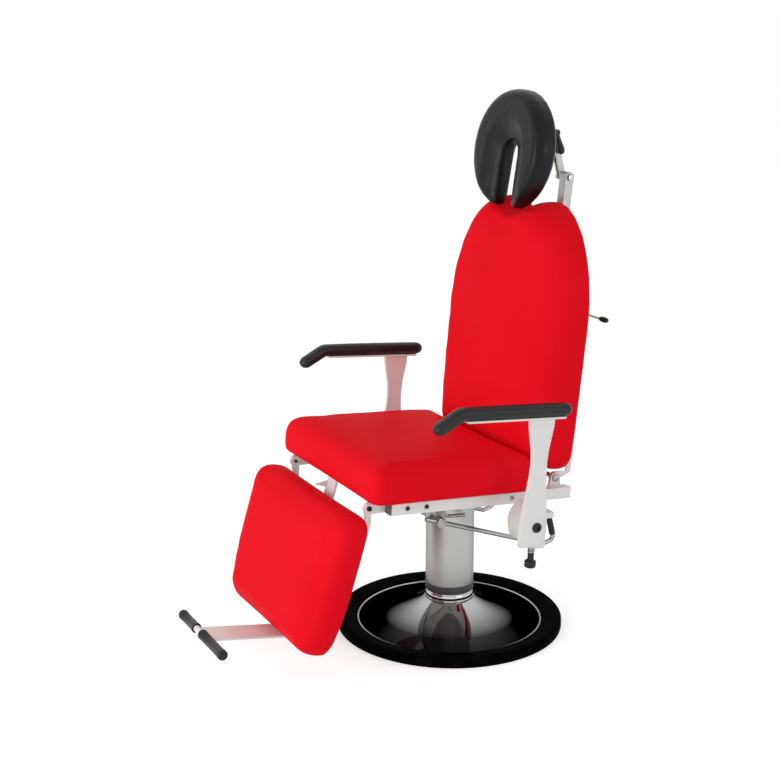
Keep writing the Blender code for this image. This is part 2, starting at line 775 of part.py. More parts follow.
def build_hinges():
    bm = bmesh.new()
    headed_pin(bm, HINGE_SHAFT_RADIUS, HINGE_HEAD_RADIUS + 0.001, lug_outer + REST_GAP, HINGE_HEAD_HEIGHT,
               back_hinge)
    node("backrest_hinge_shaft", bm, seat_frame, "plain_steel")

    head_low = lug_outer + REST_GAP
    head_high = head_low + HINGE_HEAD_HEIGHT
    shank_end = swing_inner - 0.004
    for label, side in SIDES:
        bm = bmesh.new()
        outward = Matrix.Rotation(side * math.pi / 2, 4, "Y")
        place = Matrix.Translation((0, leg_hinge.y, leg_hinge.z)) @ outward
        solid_round(bm, [(0, head_high), (HINGE_HEAD_RADIUS * 0.75, head_high),
                         (HINGE_HEAD_RADIUS, head_high - 0.0025), (HINGE_HEAD_RADIUS, head_low),
                         (HINGE_BOLT_RADIUS, head_low), (HINGE_BOLT_RADIUS, shank_end), (0, shank_end)],
                    ROD_FACETS, place)
        node("legrest_hinge_bolt_" + label, bm, seat_frame, "black_rubber")


def build_hub():
    # A tilted plate under the cross tubes, with an upright boss on the spindle.
    plate_high = -RAIL_SIZE - REST_GAP
    half = HUB_PLATE_WIDTH / 2
    reach = max(CROSS_TUBE_FRONT, CROSS_TUBE_REAR) + CROSS_TUBE_SIZE / 2
    bm = bmesh.new()
    outline = rounded_box((-half, -reach), (half, reach), 0.012, 2)
    plate(bm, outline, [], plate_high - HUB_PLATE_THICKNESS, plate_high)
    hub = node("swivel_hub", bm, seat_frame, "white_paint")

    bm = bmesh.new()
    boss_low = cap_high + REST_GAP
    boss_high = FRAME_HEIGHT - RAIL_SIZE - HUB_PLATE_THICKNESS / 2
    cylinder(bm, HUB_BOSS_RADIUS, boss_low, boss_high, TUBE_FACETS)
    combine(hub, tool("hub_boss_shape", bm, swivel_frame), "UNION")
    bm = bmesh.new()
    cylinder(bm, SPINDLE_RADIUS + RUN_GAP, boss_low - 0.01, FRAME_HEIGHT, TUBE_FACETS)
    combine(hub, tool("hub_bore_shape", bm, swivel_frame), "DIFFERENCE")


def build_seat_pad():
    board_high = REST_GAP + SEAT_BOARD
    half = SEAT_WIDTH / 2
    bm = bmesh.new()
    margin = SEAT_BOARD_INSET
    board = rounded_box((-half + margin, -SEAT_FRONT + margin),
                        (half - margin, SEAT_REAR - margin), 0.020, 2)
    plate(bm, board, [], REST_GAP, board_high)
    node("seat_board", bm, seat_frame, "birch_ply")

    # The cushion reaches down round the board, which fills a recess in its underside.
    bm = bmesh.new()
    low = REST_GAP
    middle = (SEAT_REAR - SEAT_FRONT) / 2
    half_length = (SEAT_REAR + SEAT_FRONT) / 2
    outline = side_points(rounded_box((-half, -SEAT_FRONT), (half, SEAT_REAR), 0.028, 4), 3)
    outline = drawn_in(outline, 0.004, half, half_length, middle)
    t = SEAT_THICKNESS
    levels = [(low, 0.011), (low + 0.06 * t, 0.004), (low + 0.18 * t, 0.0), (low + 0.55 * t, 0.001),
              (low + 0.74 * t, 0.005), (low + 0.87 * t, 0.012), (low + 0.95 * t, 0.024)]
    cushion(bm, lambda d: inset(outline, d), levels, 0.05 * t + 0.003, lambda x, y, h: (x, y, h))
    pad = node("seat_cushion", bm, seat_frame, "red_leatherette", 60.0)
    bm = bmesh.new()
    plate(bm, inset(board, -REST_GAP), [], low - 0.010, board_high + REST_GAP)
    combine(pad, tool("seat_recess_shape", bm, seat_frame), "DIFFERENCE")


# Backrest

back_front = -BACK_FACE
back_rear = back_front + BACK_THICKNESS
back_board_rear = back_rear + REST_GAP + BACK_BOARD
post_y = back_board_rear + POST_STANDOFF + POST_DEPTH / 2


def backrest_outline(notch):
    # Straight sides, rounded lower corners and two lobes with a dip between them.
    half = BACK_WIDTH / 2
    low = BACK_LIFT
    high = BACK_LIFT + BACK_HEIGHT
    corner = 0.045
    shoulder = high - BACK_SHOULDER
    right = arc((half - corner, low + corner), corner, -math.pi / 2, 0.0, 4)
    right += [(half, low + (shoulder - low) * t) for t in (0.35, 0.65)]
    spread = half - BACK_LOBE
    for i in range(8):
        turn = math.pi / 2 * i / 7
        out = math.cos(turn) ** 1.08
        up = math.sin(turn) ** 1.08
        right.append((BACK_LOBE + spread * out, shoulder + BACK_SHOULDER * up))
    for t in (0.75, 0.5, 0.25):
        dip = notch * (0.5 + 0.5 * math.cos(math.pi * t))
        right.append((BACK_LOBE * t, high - dip))
    left = [(-x, z) for x, z in reversed(right)]
    return right + [(0.0, high - notch)] + left + [(0.0, low)]


def build_backrest():
    outline = backrest_outline(BACK_NOTCH)
    t = BACK_THICKNESS

    def outline_at(distance):
        # The rolled edge lowers the lobes, while the dip between them stays level.
        return inset(backrest_outline(BACK_NOTCH - distance), distance)
    levels = [(0.0, 0.013), (0.05 * t, 0.005), (0.14 * t, 0.0), (0.38 * t, 0.001), (0.58 * t, 0.005),
              (0.76 * t, 0.013), (0.88 * t, 0.022), (0.96 * t, 0.034)]
    bm = bmesh.new()
    cushion(bm, outline_at, levels, 0.04 * t, lambda x, z, h: (x, back_rear - h, z))
    node("backrest_cushion", bm, back_frame, "red_leatherette", 60.0)

    bm = bmesh.new()
    plate(bm, inset(outline, BACK_BOARD_INSET), [], -back_board_rear, -back_rear - REST_GAP, FACING_FRONT)
    node("backrest_board", bm, back_frame, "birch_ply")

    # Each back plate rises from its hinge eye to run up the rear of the board.
    hole = circle(HINGE_SHAFT_RADIUS + RUN_GAP, ROD_FACETS)
    face = back_board_rear + REST_GAP
    high = BACK_LIFT + BACK_BOARD_INSET + BACK_PLATE_HEIGHT
    rear = face + BACK_PLATE_WIDTH
    nose = arc((0, 0), EYE_RADIUS, math.radians(-90), math.radians(-270), 7)
    outline = nose + [(face, EYE_RADIUS), (face, high), (face + BACK_PLATE_WIDTH * 0.5, high),
                      (rear, high - 0.030), (rear, EYE_RADIUS * 0.8)]
    for label, side in SIDES:
        bm = bmesh.new()
        plate(bm, outline, [hole], swing_inner, swing_outer, mirrored(side) @ ALONG_X)
        node("back_plate_" + label, bm, back_frame, "white_paint")


# Headrest post and its guide

guide_high_z = BACK_LIFT + BACK_HEIGHT - GUIDE_DROP
guide_low_z = guide_high_z - GUIDE_LENGTH
post_pivot_z = BACK_LIFT + BACK_HEIGHT + POST_RISE
clamp_z = (guide_low_z + guide_high_z) / 2
socket_rear = post_y + POST_DEPTH / 2 + RUN_GAP + GUIDE_SHELL

post_frame = joint_frame("post_frame", back_frame, (0, post_y, post_pivot_z))
clamp_frame = joint_frame("clamp_frame", back_frame, (0, socket_rear, clamp_z))
arm_frame = joint_frame("head_arm_frame", post_frame, (0, 0, 0), BACK_TILT + HEAD_ARM_LEAN)
head_frame = joint_frame("head_frame", arm_frame, (0, 0, HEAD_ARM_LENGTH), -HEAD_ARM_LEAN - HEAD_TILT)


def build_headrest_guide():
    # An extruded section: wall flange, hollow web and the socket round the post.
    bm = bmesh.new()
    half = POST_WIDTH / 2 + RUN_GAP + GUIDE_SHELL
    flange = GUIDE_FLANGE_WIDTH / 2
    wall = back_board_rear + REST_GAP
    socket_front = post_y - POST_DEPTH / 2 - RUN_GAP - GUIDE_SHELL
    outline = [(-flange, wall), (flange, wall), (flange, wall + GUIDE_SHELL), (half, wall + GUIDE_SHELL),
               (half, socket_rear), (-half, socket_rear), (-half, wall + GUIDE_SHELL),
               (-flange, wall + GUIDE_SHELL)]
    bore_x = POST_WIDTH / 2 + RUN_GAP
    bore_y = POST_DEPTH / 2 + RUN_GAP
    bore = [(-bore_x, post_y - bore_y), (bore_x, post_y - bore_y),
            (bore_x, post_y + bore_y), (-bore_x, post_y + bore_y)]
    web = [(-bore_x, wall + GUIDE_SHELL), (bore_x, wall + GUIDE_SHELL),
           (bore_x, socket_front), (-bore_x, socket_front)]
    plate(bm, outline, [bore, web], guide_low_z, guide_high_z)
    node("headrest_guide", bm, back_frame, "white_paint")


def build_clamp_lever():
    bm = bmesh.new()
    rear = Matrix.Rotation(-math.pi / 2, 4, "X")
    low = REST_GAP
    solid_round(bm, [(0, low + CLAMP_BOSS_LENGTH), (CLAMP_BOSS_RADIUS * 0.8, low + CLAMP_BOSS_LENGTH),
                     (CLAMP_BOSS_RADIUS, low + CLAMP_BOSS_LENGTH * 0.8), (CLAMP_BOSS_RADIUS, low),
                     (0, low)], ROD_FACETS, rear)
    lever = node("clamp_lever", bm, clamp_frame, "black_rubber")
    start = Vector((0, low + CLAMP_BOSS_LENGTH * 0.5, 0))
    end = start + Vector(CLAMP_REACH)
    along = (end - start).normalized()
    aim = Matrix.Translation(start) @ along.to_track_quat("Z", "Y").to_matrix().to_4x4()
    reach = (end - start).length
    bm = bmesh.new()
    cylinder(bm, CLAMP_ROD_RADIUS, 0.0, reach, 8, aim)
    combine(lever, tool("clamp_rod_shape", bm, clamp_frame), "UNION")

    # The grip is a teardrop moulded on the end of the rod.
    low = reach - CLAMP_BALL_LENGTH * 0.5
    swell = [(0, low)]
    for i in range(1, 6):
        turn = math.pi * i / 6
        share = (1 - math.cos(turn)) / 2
        swell.append((CLAMP_BALL_RADIUS * (0.25 + 0.75 * math.sin(turn) ** 0.8),
                      low + CLAMP_BALL_LENGTH * share))
    bm = bmesh.new()
    solid_round(bm, swell + [(0, low + CLAMP_BALL_LENGTH)], ROD_FACETS, aim)
    combine(lever, tool("clamp_ball_shape", bm, clamp_frame), "UNION")


bar_near = -POST_WIDTH / 2 - RUN_GAP
ear_near = bar_near - ARM_THICKNESS - RUN_GAP
ear_far = ear_near - EAR_THICKNESS
bar_far = ear_far - RUN_GAP
yoke_far = bar_far - ARM_THICKNESS


def build_headrest():
    pin_hole = circle(PIN_RADIUS + RUN_GAP, 10)

    # The post ends in a rounded eye for the pivot pin.
    bm = bmesh.new()
    half = POST_DEPTH / 2
    outline = arc((0, 0), half + 0.002, 0.0, math.pi, 6)
    outline += [(-half, -half - 0.004), (-half, -POST_LENGTH), (half, -POST_LENGTH), (half, -half - 0.004)]
    plate(bm, outline, [pin_hole], -POST_WIDTH / 2, POST_WIDTH / 2, ALONG_X)
    node("headrest_post", bm, post_frame, "satin_metal")

    # The yoke's two bars stand beside the post and flank the ear of the head plate.
    bm = bmesh.new()
    round_end = HEAD_ARM_WIDTH / 2
    outline = arc((0, HEAD_ARM_LENGTH), round_end, 0.0, math.pi, 6)
    outline += arc((0, 0), round_end, math.pi, 2 * math.pi, 6)
    top_hole = moved(circle(HINGE_BOLT_RADIUS + RUN_GAP, 10), (0, HEAD_ARM_LENGTH))
    for start in (yoke_far, bar_near - ARM_THICKNESS):
        plate(bm, outline, [pin_hole, top_hole], start, start + ARM_THICKNESS, ALONG_X)
    yoke = node("headrest_yoke", bm, arm_frame, "satin_metal")
    bm = bmesh.new()
    low = (HEAD_ARM_LENGTH - YOKE_WEB_LENGTH) / 2
    web_rear = round_end - 0.001
    box(bm, (bar_far - WELD_DEPTH, web_rear - YOKE_WEB_THICKNESS, low),
        (ear_near + RUN_GAP + WELD_DEPTH, web_rear, low + YOKE_WEB_LENGTH))
    combine(yoke, tool("yoke_web_shape", bm, arm_frame), "UNION")

    bm = bmesh.new()
    middle = (POST_WIDTH / 2 + yoke_far) / 2
    reach = (POST_WIDTH / 2 - yoke_far) / 2 + REST_GAP
    headed_pin(bm, PIN_RADIUS, PIN_HEAD_RADIUS, reach, PIN_HEAD_LENGTH, Vector((middle, 0, 0)))
    node("headrest_pivot_pin", bm, arm_frame, "chrome")

    # A steel plate on the back of the pad carries an ear on the tilt axis.
    pad_rear = -HEAD_SETBACK
    plate_rear = pad_rear + REST_GAP + HEAD_PLATE_THICKNESS
    plate_low = HEAD_SLOT_TOP - HEAD_DROP + 0.011
    bm = bmesh.new()
    outline = rounded_box((-HEAD_PLATE_WIDTH / 2, plate_low),
                          (HEAD_PLATE_WIDTH / 2, plate_low + HEAD_PLATE_HEIGHT), 0.012, 3)
    plate(bm, outline, [], -plate_rear, -pad_rear - REST_GAP, FACING_FRONT)
    head_plate = node("headrest_plate", bm, head_frame, "satin_metal")
    bm = bmesh.new()
    ear_hole = circle(HINGE_BOLT_RADIUS + RUN_GAP, 10)
    root = plate_rear - WELD_DEPTH
    outline = eye_outline((0, 0), (root, plate_low + 0.040), (root, plate_low + 0.006), round_end)
    plate(bm, outline, [ear_hole], ear_far, ear_near, ALONG_X)
    combine(head_plate, tool("headrest_ear_shape", bm, head_frame), "UNION")

    build_headrest_cushion(pad_rear)
    build_headrest_handle()


def horseshoe(outer_in, slot_in, height):
    # An oval outline with a slot that is open at the bottom.
    half_w = HEAD_WIDTH / 2 - outer_in
    half_h = HEAD_HEIGHT / 2 - outer_in
    slot = HEAD_SLOT_WIDTH / 2 + slot_in
    slot_low = slot + HEAD_SLOT_FLARE
    foot = math.asin(min((slot_low + HEAD_END_ROUND) / half_w, 0.9))
    start = -math.pi / 2 + foot
    bottom = half_h * math.sin(start)
    crest = HEAD_SLOT_TOP - HEAD_SLOT_WIDTH / 2
    half = []
    for i in range(15):
        turn = start + (math.pi / 2 - start) * i / 14
        half.append((half_w * math.cos(turn), half_h * math.sin(turn)))
    edge = [(slot_low + HEAD_END_ROUND * 0.4, bottom + 0.001), (slot_low, bottom + HEAD_END_ROUND * 0.8),
            ((slot + slot_low) / 2, (bottom + crest) / 2)]
    for i in range(5):
        turn = math.pi / 2 * i / 4
        edge.append((slot * math.cos(turn), crest + slot * math.sin(turn)))
    mirror_half = [(-x, z) for x, z in reversed(half[:-1])]
    mirror_edge = [(-x, z) for x, z in edge]
    points = half + mirror_half + mirror_edge + list(reversed(edge[:-1]))
    return [(x, height, z - HEAD_DROP) for x, z in points]


def build_headrest_cushion(pad_rear):
    bm = bmesh.new()
    t = HEAD_THICKNESS
    bevel = HEAD_SLOT_BEVEL
    rings = [horseshoe(0.016, 0.008, pad_rear), horseshoe(0.007, 0.002, pad_rear - 0.10 * t),
             horseshoe(0.0, 0.0, pad_rear - 0.25 * t), horseshoe(0.001, 0.0, pad_rear - 0.64 * t),
             horseshoe(0.002, 0.004, pad_rear - 0.71 * t),
             horseshoe(0.006, bevel * 0.55, pad_rear - 0.87 * t),
             horseshoe(0.011, bevel * 0.92, pad_rear - 0.975 * t), horseshoe(0.018, bevel, pad_rear - t)]
    loft(bm, rings)
    node("headrest_cushion", bm, head_frame, "black_leatherette", 60.0)


def build_headrest_handle():
    # The clamp handle: a screw on the tilt axis with a tapered grip that hangs from it.
    bm = bmesh.new()
    hub_low = bar_near + REST_GAP
    hub_high = hub_low + HANDLE_TIP_RADIUS + HANDLE_ROOT_RADIUS
    across = Matrix.Rotation(math.pi / 2, 4, "Y")
    tail = yoke_far - 0.004
    solid_round(bm, [(0, hub_high), (HANDLE_ROOT_RADIUS + 0.002, hub_high),
                     (HANDLE_ROOT_RADIUS + 0.003, hub_low + 0.001), (HANDLE_ROOT_RADIUS + 0.003, hub_low),
                     (HINGE_BOLT_RADIUS, hub_low), (HINGE_BOLT_RADIUS, tail), (0, tail)],
                ROD_FACETS, across)
    handle = node("headrest_clamp_handle", bm, head_frame, "black_rubber")
    bm = bmesh.new()
    lean = Matrix.Rotation(HANDLE_LEAN, 4, "X")
    out = Matrix.Translation((hub_low + HANDLE_TIP_RADIUS, 0, 0))
    solid_round(bm, [(0, 0), (HANDLE_ROOT_RADIUS, 0), (HANDLE_TIP_RADIUS, -HANDLE_LENGTH * 0.75),
                     (HANDLE_TIP_RADIUS * 0.75, -HANDLE_LENGTH * 0.95), (0, -HANDLE_LENGTH)],
                ROD_FACETS, out @ lean)
    combine(handle, tool("handle_grip_shape", bm, head_frame), "UNION")


# Legrest and footrest

leg_rear = -REST_GAP
leg_board_rear = 0.004
foot_frame = joint_frame("foot_frame", leg_frame, (0, 0, 0))


def legrest_outline():
    # Square shoulders, with sides that draw in towards the feet.
    half = LEG_WIDTH / 2
    points = rounded_box((-half, -LEG_DROP - LEG_LENGTH), (half, -LEG_DROP), 0.040, 4)
    points = side_points(points, 4)
    shaped = []
    for x, z in points:
        down = (-LEG_DROP - z) / LEG_LENGTH
        taper = LEG_FOOT_TAPER * max(down - 0.5, 0.0) ** 2 * 4
        shaped.append((x * (1 - taper / half), z))
    middle = -LEG_DROP - LEG_LENGTH / 2
    return drawn_in(shaped, 0.003, half, LEG_LENGTH / 2, middle)


def build_legrest():
    outline = legrest_outline()
    board_front = leg_board_rear - LEG_BOARD
    pad_rear = board_front - REST_GAP
    t = LEG_THICKNESS
    bm = bmesh.new()
    levels = [(0.0, 0.011), (0.06 * t, 0.004), (0.18 * t, 0.0), (0.50 * t, 0.001), (0.70 * t, 0.005),
              (0.85 * t, 0.013), (0.945 * t, 0.026)]
    cushion(bm, lambda d: inset(outline, d), levels, 0.055 * t, lambda x, z, h: (x, pad_rear - h, z))
    node("legrest_cushion", bm, leg_frame, "red_leatherette", 60.0)

    bm = bmesh.new()
    plate(bm, inset(outline, LEG_BOARD_INSET), [], -leg_board_rear, -board_front, FACING_FRONT)
    node("legrest_board", bm, leg_frame, "birch_ply")

    build_legrest_frame()


def build_legrest_frame():
    # A spine with a crossbar carries the footrest, between two arms that run down from the hinges.
    bm = bmesh.new()
    half = SPINE_WIDTH / 2
    box(bm, (-half, spine_front, spine_low), (half, spine_rear, EYE_RADIUS * 1.1))
    spine = node("legrest_spine", bm, leg_frame, "white_paint")

    hole = circle(HINGE_BOLT_RADIUS + RUN_GAP, 10)
    low = -LEG_DROP - LEG_BOARD_INSET - LEG_ARM_LENGTH
    neck = -LEG_DROP - LEG_BOARD_INSET + 0.012
    nose = arc((0, 0), EYE_RADIUS, math.radians(-20), math.radians(200), 8)
    outline = nose + [(-0.006, -EYE_RADIUS), (spine_front, neck), (spine_front, low),
                      (spine_front + LEG_ARM_WIDTH * 0.5, low), (spine_front + LEG_ARM_WIDTH, low + 0.024),
                      (spine_front + LEG_ARM_WIDTH, neck)]
    for label, side in SIDES:
        bm = bmesh.new()
        plate(bm, outline, [hole], swing_inner, swing_outer, mirrored(side) @ ALONG_X)
        node("legrest_arm_" + label, bm, leg_frame, "white_paint")

    bm = bmesh.new()
    bar_high = neck - 0.012
    reach = swing_inner - REST_GAP
    box(bm, (-reach, spine_front + 0.0005, bar_high - LEG_CROSSBAR_WIDTH),
        (reach, spine_rear - 0.0005, bar_high))
    combine(spine, tool("legrest_crossbar_shape", bm, leg_frame), "UNION")
    bm = bmesh.new()
    sides = [(spine_front + WELD_DEPTH, -LEG_DROP + 0.004), (spine_front + WELD_DEPTH, EYE_RADIUS * 0.2),
             (leg_board_rear - 0.034, -LEG_DROP + 0.006)]
    plate(bm, sides, [], -half + 0.001, -half + SPINE_THICKNESS, ALONG_X)
    combine(spine, tool("legrest_gusset_shape", bm, leg_frame), "UNION")


spine_front = leg_board_rear + REST_GAP
spine_rear = spine_front + SPINE_THICKNESS
guide_front = spine_rear + REST_GAP
stem_front = guide_front + FOOT_GUIDE_WALL + RUN_GAP
stem_rear = stem_front + STEM_THICKNESS
spine_low = -LEG_DROP - LEG_LENGTH + 0.034
bend_z = -LEG_DROP - LEG_LENGTH - STEM_BEND_DROP


def build_footrest():
    # The guide is a flat sleeve on the spine, round the stem of the footrest.
    bm = bmesh.new()
    inner_x = STEM_WIDTH / 2 + RUN_GAP
    outer_x = inner_x + FOOT_GUIDE_WALL
    outline = rounded_box((-outer_x, guide_front), (outer_x, stem_rear + RUN_GAP + FOOT_GUIDE_WALL), 0.003, 2)
    bore = [(-inner_x, stem_front - RUN_GAP), (inner_x, stem_front - RUN_GAP),
            (inner_x, stem_rear + RUN_GAP), (-inner_x, stem_rear + RUN_GAP)]
    guide_low = spine_low + 0.004
    plate(bm, outline, [bore], guide_low, guide_low + FOOT_GUIDE_LENGTH)
    node("footrest_guide", bm, leg_frame, "white_paint")

    # The stem is a flat strip that bends forward under the pad to the foot bar.
    bm = bmesh.new()
    forward = STEM_RISE - LEG_TILT
    way = Vector((0, -math.cos(forward), math.sin(forward)))
    middle = (stem_front + stem_rear) / 2
    corner = Vector((0, middle, bend_z))
    tip = corner + way * STEM_REACH
    path = fillet_path([(0, middle, bend_z + STEM_INSERT), corner, tip], 0.016, 4)
    rings = []
    for i, point in enumerate(path):
        along = (path[min(i + 1, len(path) - 1)] - path[max(i - 1, 0)]).normalized()
        out = Vector((1, 0, 0)).cross(along) * (STEM_THICKNESS / 2)
        wide = Vector((STEM_WIDTH / 2, 0, 0))
        rings.append([point - wide - out, point + wide - out, point + wide + out, point - wide + out])
    loft(bm, rings)
    stem = node("footrest_stem", bm, foot_frame, "white_paint")
    bar = tip + way * (FOOT_BAR_RADIUS - WELD_DEPTH)
    across = Matrix.Translation(bar) @ Matrix.Rotation(math.pi / 2, 4, "Y")
    end = FOOT_BAR_LENGTH / 2 - SLEEVE_RADIUS + FOOT_BAR_RADIUS
    bm = bmesh.new()
    cylinder(bm, FOOT_BAR_RADIUS, -end, end, ROD_FACETS, across)
    combine(stem, tool("foot_bar_shape", bm, foot_frame), "UNION")
    build_sleeves(across)


def build_sleeves(across):
    # Rubber sleeves with closed, rounded ends, which leave a bare length of bar between them.
    end = FOOT_BAR_LENGTH / 2
    bore = FOOT_BAR_RADIUS + REST_GAP
    inner_end = end - SLEEVE_RADIUS + FOOT_BAR_RADIUS + REST_GAP
    for label, side in SIDES:
        start = max(SLEEVE_GAP / 2 + side * SLEEVE_GAP_SHIFT, 0.0)
        clear = STEM_WIDTH / 2 + REST_GAP
        profile = [(0, inner_end), (bore, inner_end), (bore, start), (SLEEVE_RADIUS, start)]
        profile += arc((SLEEVE_RADIUS - 0.006, end - 0.006), 0.006, 0.0, math.pi / 2, 3) + [(0, end)]
        bm = bmesh.new()
        flip = Matrix() if side > 0 else Matrix.Rotation(math.pi, 4, "X")
        solid_round(bm, profile, ROD_FACETS, across @ flip)
        sleeve = node("footrest_sleeve_" + label, bm, foot_frame, "black_rubber")
        # The stem's end enters the inner ends of the sleeves through a notch.
        bm = bmesh.new()
        reach = across.translation.length + SLEEVE_RADIUS
        forward = STEM_RISE - LEG_TILT
        box(bm, (-clear, 0.0, -STEM_THICKNESS / 2 - REST_GAP), (clear, reach, STEM_THICKNESS / 2 + REST_GAP))
        shift(bm, (), Matrix.Translation(across.translation) @ Matrix.Rotation(-forward, 4, "X"))
        combine(sleeve, tool("sleeve_notch_shape_" + label, bm, foot_frame), "DIFFERENCE")


# Armrests

bracket_end = rail_outer + REST_GAP + BRACKET_LENGTH
post_inner = bracket_end + 0.0012
post_outer = post_inner + ARM_POST_THICKNESS
bracket_low = arm_pivot.z - BRACKET_DROP
bracket_high = bracket_low + BRACKET_HEIGHT
bracket_front = arm_pivot.y - BRACKET_LEAD
bracket_rear = bracket_front + BRACKET_WIDTH
barrel_high = bracket_low + WELD_DEPTH
barrel_low = barrel_high - BARREL_LENGTH
plunger_x = bracket_end - PLUNGER_OFFSET
plunger_y = arm_pivot.y + PLUNGER_SETBACK


def build_brackets():
    # A folded sheet box with a convex front, open at its stepped rear.
    for label, side in SIDES:
        bm = bmesh.new()
        step = bracket_rear - BRACKET_NOTCH
        middle = (bracket_low + bracket_high) / 2
        outline = [(step, bracket_low), (step, bracket_high - BRACKET_TAB),
                   (bracket_rear, bracket_high - BRACKET_TAB), (bracket_rear, bracket_high)]
        for i in range(9):
            t = 1 - 2 * i / 8
            recess = BRACKET_NOSE * t * t * (1.0 if t > 0 else 0.4)
            outline.append((bracket_front + recess, middle + t * BRACKET_HEIGHT / 2))
        plate(bm, outline, [], rail_outer + REST_GAP, bracket_end, mirrored(side) @ ALONG_X)
        bmesh.ops.dissolve_limit(bm, angle_limit=math.radians(1.0), verts=bm.verts, edges=bm.edges)
        rear = [face for face in bm.faces if all(v.co.y > step - 1e-6 for v in face.verts)]
        bmesh.ops.recalc_face_normals(bm, faces=bm.faces)
        bmesh.ops.delete(bm, geom=rear, context="FACES_ONLY")
        bracket = node("armrest_bracket_" + label, bm, seat_frame, "white_paint")
        shell = bracket.modifiers.new("sheet", "SOLIDIFY")
        shell.thickness = BRACKET_WALL
        shell.offset = -1.0
        shell.use_even_offset = True
        place = Matrix.Translation((side * plunger_x, plunger_y, 0))
        bm = bmesh.new()
        solid_round(bm, [(0, barrel_high), (BARREL_RADIUS, barrel_high),
                         (BARREL_RADIUS, barrel_low + BARREL_LENGTH * 0.5),
                         (BARREL_RADIUS * 0.8, barrel_low + BARREL_LENGTH * 0.45),
                         (BARREL_RADIUS * 0.8, barrel_low), (0, barrel_low)], ROD_FACETS, place)
        combine(bracket, tool("plunger_barrel_shape_" + label, bm, seat_frame), "UNION")
        bm = bmesh.new()
        cylinder(bm, PLUNGER_PIN_RADIUS + RUN_GAP, barrel_low - 0.01, bracket_low + BRACKET_WALL + 0.01,
                 ROD_FACETS, place)
        combine(bracket, tool("plunger_bore_shape_" + label, bm, seat_frame), "DIFFERENCE")


def build_pivot_screws():
    for label, side in SIDES:
        bm = bmesh.new()
        low = post_outer + REST_GAP
        high = low + PIVOT_CAP_HEIGHT
        shank = bracket_end + REST_GAP
        outward = Matrix.Rotation(side * math.pi / 2, 4, "Y")
        place = Matrix.Translation((0, arm_pivot.y, arm_pivot.z)) @ outward
        solid_round(bm, [(0, high), (PIVOT_CAP_RADIUS * 0.6, high), (PIVOT_CAP_RADIUS, high - 0.003),
                         (PIVOT_CAP_RADIUS, low), (PIN_RADIUS, low), (PIN_RADIUS, shank), (0, shank)],
                    16, place)
        node("armrest_pivot_screw_" + label, bm, seat_frame, "black_rubber")


def armrest_post_outline():
    # Wide at the pad and at the pivot, with a waist above the middle and a foot that is set forward.
    top = ARM_POST_ABOVE - ARM_STRIP_THICKNESS * 0.3
    corner = 0.010
    heel = 0.024

    def edge(z, way):
        share = (z + ARM_POST_BELOW) / (top + ARM_POST_BELOW)
        pinch = math.sin(math.pi * share ** 1.6) ** 2
        half = ARM_POST_WIDTH / 2 - (ARM_POST_WIDTH - ARM_POST_WAIST) / 2 * pinch
        return (way * half - ARM_POST_RAKE * (1 - share) ** 2, z)
    first = -ARM_POST_BELOW + heel
    heights = [first + (top - first) * t for t in (0.0, 0.12, 0.26, 0.39, 0.51, 0.62, 0.73, 0.83, 0.92, 1.0)]
    rear = [edge(z, 1) for z in heights]
    front = [edge(z, -1) for z in reversed(heights)]
    foot = arc((front[-1][0] + corner, -ARM_POST_BELOW + corner), corner, math.pi, 1.5 * math.pi, 3)
    foot += arc((rear[0][0] - heel, first), heel, 1.5 * math.pi, 2 * math.pi, 5)[:-1]
    return rear + front + foot


def build_armrest(label, side):
    frame = joint_frame("armrest_frame_" + label, seat_frame, arm_pivot, SEAT_TILT - ARM_LEAN)
    hole = circle(PIN_RADIUS + RUN_GAP, 12)
    bm = bmesh.new()
    plate(bm, armrest_post_outline(), [hole], post_inner, post_outer, mirrored(side) @ ALONG_X)
    post = node("armrest_post_" + label, bm, frame, "white_paint")

    # The strip under the pad is welded across the top of the post.
    pad_x = (post_inner + post_outer) / 2
    tilt = Matrix.Rotation(-ARM_PAD_TILT, 4, "X")
    top = Matrix.Translation((side * pad_x, 0, ARM_POST_ABOVE)) @ tilt
    half = ARM_PAD_WIDTH / 2 - 0.004
    bm = bmesh.new()
    box(bm, (-half, -ARM_PAD_FRONT + 0.012, -ARM_STRIP_THICKNESS + 0.001),
        (half, ARM_PAD_REAR - 0.006, 0.001))
    shift(bm, (), top)
    combine(post, tool("armrest_strip_shape_" + label, bm, frame), "UNION")

    bm = bmesh.new()
    low = 0.001 + REST_GAP
    middle = low + ARM_PAD_HEIGHT / 2
    nose = Vector((0, -math.cos(ARM_PAD_DROOP), -math.sin(ARM_PAD_DROOP))) * ARM_PAD_NOSE
    bend = Vector((0, -ARM_PAD_FRONT, middle))
    path = fillet_path([(0, ARM_PAD_REAR, middle), bend, bend + nose], 0.030, 4)
    rings = []
    for i, point in enumerate(path):
        along = (path[min(i + 1, len(path) - 1)] - path[max(i - 1, 0)]).normalized()
        up = Vector((1, 0, 0)).cross(-along)
        ends = ((0.012, 0.55), (0.004, 0.86), (0.0, 1.0))
        stations = [(0.0, 1.0)]
        if i == 0:
            stations = [(-back, share) for back, share in reversed(ends)][::-1]
        if i == len(path) - 1:
            stations = [(back, share) for back, share in reversed(ends)]
        for ahead, share in stations:
            centre = point + along * ahead
            section = rounded_box((-ARM_PAD_WIDTH / 2, -ARM_PAD_HEIGHT / 2),
                                  (ARM_PAD_WIDTH / 2, ARM_PAD_HEIGHT / 2), 0.011, 2)
            rings.append([centre + Vector((x * share, 0, 0)) + up * (z * share) for x, z in section])
    loft(bm, rings)
    shift(bm, (), top)
    node("armrest_pad_" + label, bm, frame, "black_rubber", 60.0)


